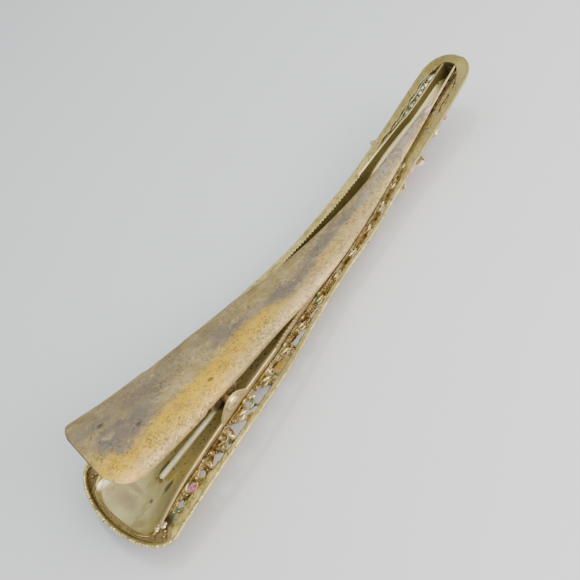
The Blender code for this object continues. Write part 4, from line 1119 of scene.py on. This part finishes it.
def petal(station, side, heading, start, reach, half_width, base, drop, thick, lift=0.0, share=1.0):
    """One cupped petal as a closed sheet; share shrinks its outline and lift moves it towards the front."""
    along = np.linspace(0, 1, 15)
    rows = []
    for t in along:
        width = share * half_width * math.sin(math.pi * min(0.06 + 0.90 * t, 1.0) ** 0.85) ** 0.62 + 0.04
        radius = start + (reach - start) * ((t - 0.5) * share + 0.5)
        across = np.linspace(-1, 1, 9)
        fall = drop * ((radius / reach) ** 2.2) * (1 - 0.30 * across ** 2)
        fall -= 0.12 * np.cos(across * 9.0) * (radius / reach)
        top = np.column_stack([np.full(9, radius), across * width, base - fall - lift])
        rows.append(np.vstack([top, top[::-1] - [0, 0, thick]]))
    return turned_sheet(rows, station, side, heading)


def brilliant(station, side, table_height, radius):
    """A round stone cut with a table, star and kite facets, a thin girdle and a pointed pavilion."""
    crown, girdle, pavilion = (share * radius for share in STONE_SHARES)
    levels = [(0.54, 0.0, 8, 0.0), (0.80, 0.55 * crown, 8, 0.5), (1.0, crown, 16, 0.0),
              (1.0, crown + girdle, 16, 0.0), (0.10, crown + girdle + pavilion, 8, 0.0)]
    rings = []
    for share, depth, count, turn in levels:
        angle = (np.arange(16) / 16 if count == 16
                 else np.repeat(np.arange(8), 2) / 8 + turn / 8) * 2 * math.pi
        ring = share * radius * np.stack([np.cos(angle), np.sin(angle)], axis=1) + [station, side]
        rings.append(np.column_stack([ring, np.full(16, table_height + depth)]))
    return grid(rings, False, True, True)


def stone(node, *shape):
    """A cut stone, with every facet flat."""
    piece(node + "_cut", brilliant(*shape), PASTE, stands_for=(node,), smooth_angle=5)


def setting(station, side, table_height, radius, prongs=6):
    """A bezel cup behind a stone, with prongs bent over its girdle."""
    crown, girdle, pavilion = (share * radius for share in STONE_SHARES)
    deep = pavilion + girdle
    back = table_height + crown + girdle + pavilion
    profile = [(0.3 * radius, -0.12), (0.75 * radius, -0.10), (1.10 * radius, -0.45 * pavilion),
               (1.16 * radius, -deep), (1.04 * radius, -deep - 0.05), (1.02 * radius, -0.5 * pavilion),
               (0.55 * radius, -0.04)]
    shapes = [lathe(profile, (station, side, back), (0, 0, 1), 36)]
    for k in range(prongs):
        a = 2 * math.pi * (k + 0.5) / prongs
        direction = np.array([math.cos(a), math.sin(a), 0.0])
        centre = np.array([station, side, 0.0])
        path = [centre + direction * radius * r + [0, 0, z] for r,
                z in ((1.14, back - 0.4 * pavilion), (1.14, table_height + crown),
                      (1.02, table_height + 0.45 * crown), (0.90, table_height + 0.30 * crown))]
        shapes.append(tube(path, [0.16, 0.17, 0.17, 0.13], 7))
    return joined(shapes)


def leaf_shape(station, side, heading, length, half_width, base, share=1.0, lift=0.0, thick=0.5):
    """A pointed leaf with a creased midrib and turned-down sides."""
    along = np.linspace(0, 1, 17)
    rows = []
    for t in along:
        width = share * half_width * max(math.sin(math.pi * min(0.05 + 0.93 * t, 1.0)) ** 0.8, 0.04)
        across = np.linspace(-1, 1, 9)
        fall = 0.45 * np.abs(across) ** 1.4 + 0.07 * np.cos(across * 14 + t * 20)
        top = np.column_stack([np.full(9, length * ((t - 0.5) * share + 0.5)), across * width,
                               base - fall - lift])
        rows.append(np.vstack([top, top[::-1] - [0, 0, thick]]))
    return turned_sheet(rows, station, side, heading)


def flower_pieces(name, station, side, reach, petals, stone_radius, stone_node):
    underside = min(casting_underside(station + d) for d in (-4.0, 0.0, 4.0))
    base = underside - 0.4
    rests = station < 80
    table = 0.0 if rests else underside - 2.6
    seat = underside - 1.15
    fitted = min(stone_radius, (seat - table) / sum(STONE_SHARES))
    drop = base - 0.55 - (table + 0.35)
    half_width = reach * math.sin(math.pi / petals) * (0.60 if petals == 6 else 0.72)
    reach *= 0.88 if petals == 6 else 0.985
    share, lift = (1.0, 0.32) if station > 100 else (0.80, 0.36)
    gold, enamel = [], []
    for k in range(petals):
        heading = 360.0 * k / petals
        gold.append(petal(station, side, heading, 0.8, reach, half_width, base, drop, 0.42, 0.0, 0.94))
        enamel.append(petal(station, side, heading, 0.8, reach, half_width, base, drop, 0.20, lift, share))
        rib = math.radians(heading + 180.0 / petals)
        path = [(station + r * math.cos(rib), side + r * math.sin(rib),
                 base - 0.35 - 0.5 * drop * (r / reach) ** 2) for r in np.linspace(0.6, reach * 0.5, 6)]
        gold.append(tube(path, np.linspace(0.30, 0.14, 6), 7))
        gold.append(bead(path[-1], 0.34, 0.9, 10, 7))
    gold.append(lathe([(0.3, 0.0), (0.9 * fitted, -0.05), (1.25 * fitted, -0.35), (1.15 * fitted, -0.60),
                       (0.4, -0.62)], (station, side, base), (0, 0, 1), 32))
    gold.append(setting(station, side, table, fitted))
    gold.append(post(station, side, FLOWER_PEG, base))
    piece(name + "_gold", joined(gold), RIVET, stands_for=(name,))
    piece(name + "_enamel", joined(enamel), ENAMEL)
    stone(stone_node, station, side, table, fitted)


def leaf_pieces(node, station, side, heading, length, half_width, base):
    turn = math.radians(heading)
    gold = [leaf_shape(station, side, heading, length, half_width, base)]
    t = np.linspace(0.06, 0.92, 9)
    rib = np.column_stack([station + t * length * math.cos(turn), side + t * length * math.sin(turn),
                           np.full(9, base - 0.56)])
    gold.append(tube(rib, np.linspace(0.22, 0.10, 9), 7))
    if node != "leaf_09":
        middle = 0.42 * length
        gold.append(post(station + middle * math.cos(turn), side + middle * math.sin(turn), LEAF_PEG, base))
    piece(node + "_gold", joined(gold), RIVET, stands_for=(node,))
    piece(node + "_enamel", leaf_shape(station, side, heading, length, half_width, base, 0.74, 0.34, 0.18),
          ENAMEL)


def post(station, side, radius, base):
    """A short peg that holds a flower or a leaf to the casting."""
    top = casting_underside(station) + 0.6
    return lathe([(radius, 0.0), (radius * 0.8, 0.3), (radius * 0.8, top - base + 0.5)],
                 (station, side, base - 0.5), (0, 0, 1), 20)


for flower in FLOWERS:
    flower_pieces(*flower)
for number, place in enumerate(LEAVES, 1):
    reach = place[3] * math.cos(math.radians(place[2]))
    base = min(casting_underside(place[0]), casting_underside(place[0] + reach)) - 0.5
    leaf_pieces(f"leaf_{number:02d}", *place, base)
leaf_pieces(f"leaf_{len(LEAVES) + 1:02d}", *SIDE_LEAF, rim_height(SIDE_LEAF[0]) - SIDE_LEAF_DROP)


def bud():
    top = casting_underside(BUD_STATION) - 0.4
    centre = (BUD_STATION, BUD_SIDE, top - BUD_RADIUS)
    shapes = [bead(centre, BUD_RADIUS * 0.93, 1.0, 20, 12)]
    for k in range(5):
        a = 2 * math.pi * k / 5
        t = np.linspace(0.15, 2.2, 9)
        around = a + 0.3 * t
        ray = np.column_stack([np.sin(t) * np.cos(around), np.sin(t) * np.sin(around), np.cos(t)])
        path = np.array(centre) + 0.97 * BUD_RADIUS * ray
        shapes.append(tube(path, np.linspace(0.20, 0.10, 9), 7))
    return joined(shapes)


piece("bud_tip_gold", bud(), RIVET, stands_for=("bud_tip",))

stones, settings = len(FLOWERS), []
for station, side, radius in BUD_STONES:
    stones += 1
    table = casting_underside(station) - 0.3 - sum(STONE_SHARES) * radius
    if side == 0.0:
        settings.append(setting(station, side, table, radius, 4))
    stone(f"stone_{stones:02d}", station, side, table, radius)
for sign in (-1, 1):
    stones += 1
    low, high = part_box(f"stone_{stones:02d}")
    centre, radius = (low + high) / 2, (high.x - low.x) / 2 / MM
    stone(f"stone_{stones:02d}", centre.x / MM + LENGTH / 2, centre.y / MM, low.z / MM, radius)
piece("stone_settings", joined(settings), RIVET)


# ---- floor, light and camera, in metres ---------------------------------------------------------
FLOOR_HALF = 1.2
SKY_COLOUR, SKY_STRENGTH = (0.92, 0.96, 1.0, 1.0), 0.50
# name, place, target, size, power, colour
LIGHTS = [("sky", (-0.08, 0.0, 0.85), (0, 0, 0), 1.30, 5.6, (0.92, 0.97, 1.0)),
          ("window", (0.26, -0.30, 0.38), (0.03, -0.03, 0), 0.80, 4.2, (1.0, 0.95, 0.90)),
          ("glint", (0.10, 0.02, 0.60), (0, 0, 0), 0.08, 0.8, (1.0, 0.98, 0.95)),
          ("bounce", (-0.01, -0.20, 0.13), (-0.01, -0.05, 0), 0.12, 0.20, (1.0, 0.88, 0.84)),
          ("low_fill", (0.12, -0.34, 0.11), (0.0, -0.02, 0), 0.30, 1.5, (1.0, 0.90, 0.87))]
LENS, SENSOR_WIDTH = 43.45, 36.0
CAMERA_PLACE = (-0.05585, -0.08726, 0.11812)
CAMERA_RIGHT, CAMERA_UP = (0.5885, -0.7411, -0.3233), (0.7365, 0.3263, 0.5926)


def floor():
    f = Finish("table_paper")
    f.paint_base(f.noise(60.0, 2.0, 0.5), (0.60, 0.62, 0.63), (0.63, 0.645, 0.65))
    finish = f.done(0.55, 0.0)
    mesh = bpy.data.meshes.new("table")
    corners = [(-FLOOR_HALF, -FLOOR_HALF, 0), (FLOOR_HALF, -FLOOR_HALF, 0), (FLOOR_HALF, FLOOR_HALF, 0),
               (-FLOOR_HALF, FLOOR_HALF, 0)]
    mesh.from_pydata(corners, [], [(0, 1, 2, 3)])
    mesh.materials.append(finish)
    obj = bpy.data.objects.new("table", mesh)
    bpy.context.scene.collection.objects.link(obj)


def area_light(name, place, target, size, power, colour):
    data = bpy.data.lights.new(name, "AREA")
    data.shape, data.size, data.energy, data.color = "DISK", size, power, colour
    obj = bpy.data.objects.new(name, data)
    obj.location = place
    obj.rotation_euler = (Vector(target) - Vector(place)).to_track_quat("-Z", "Y").to_euler()
    bpy.context.scene.collection.objects.link(obj)


def studio():
    world = bpy.data.worlds.new("studio")
    world.use_nodes = True
    sky = world.node_tree.nodes["Background"].inputs
    sky["Color"].default_value, sky["Strength"].default_value = SKY_COLOUR, SKY_STRENGTH
    bpy.context.scene.world = world
    for light in LIGHTS:
        area_light(*light)


def camera():
    """The viewing angle of a person looking down at the table, from the clip's right."""
    data = bpy.data.cameras.new("camera")
    data.lens, data.sensor_width = LENS, SENSOR_WIDTH
    right, up = Vector(CAMERA_RIGHT).normalized(), Vector(CAMERA_UP)
    back = right.cross(up).normalized()
    up = back.cross(right)
    obj = bpy.data.objects.new("camera", data)
    turn = Matrix((right, up, back)).transposed()
    obj.matrix_world = Matrix.Translation(CAMERA_PLACE) @ turn.to_4x4()
    data.clip_start, data.clip_end = 0.01, 10.0
    bpy.context.scene.collection.objects.link(obj)
    bpy.context.scene.camera = obj


floor()
studio()
camera()
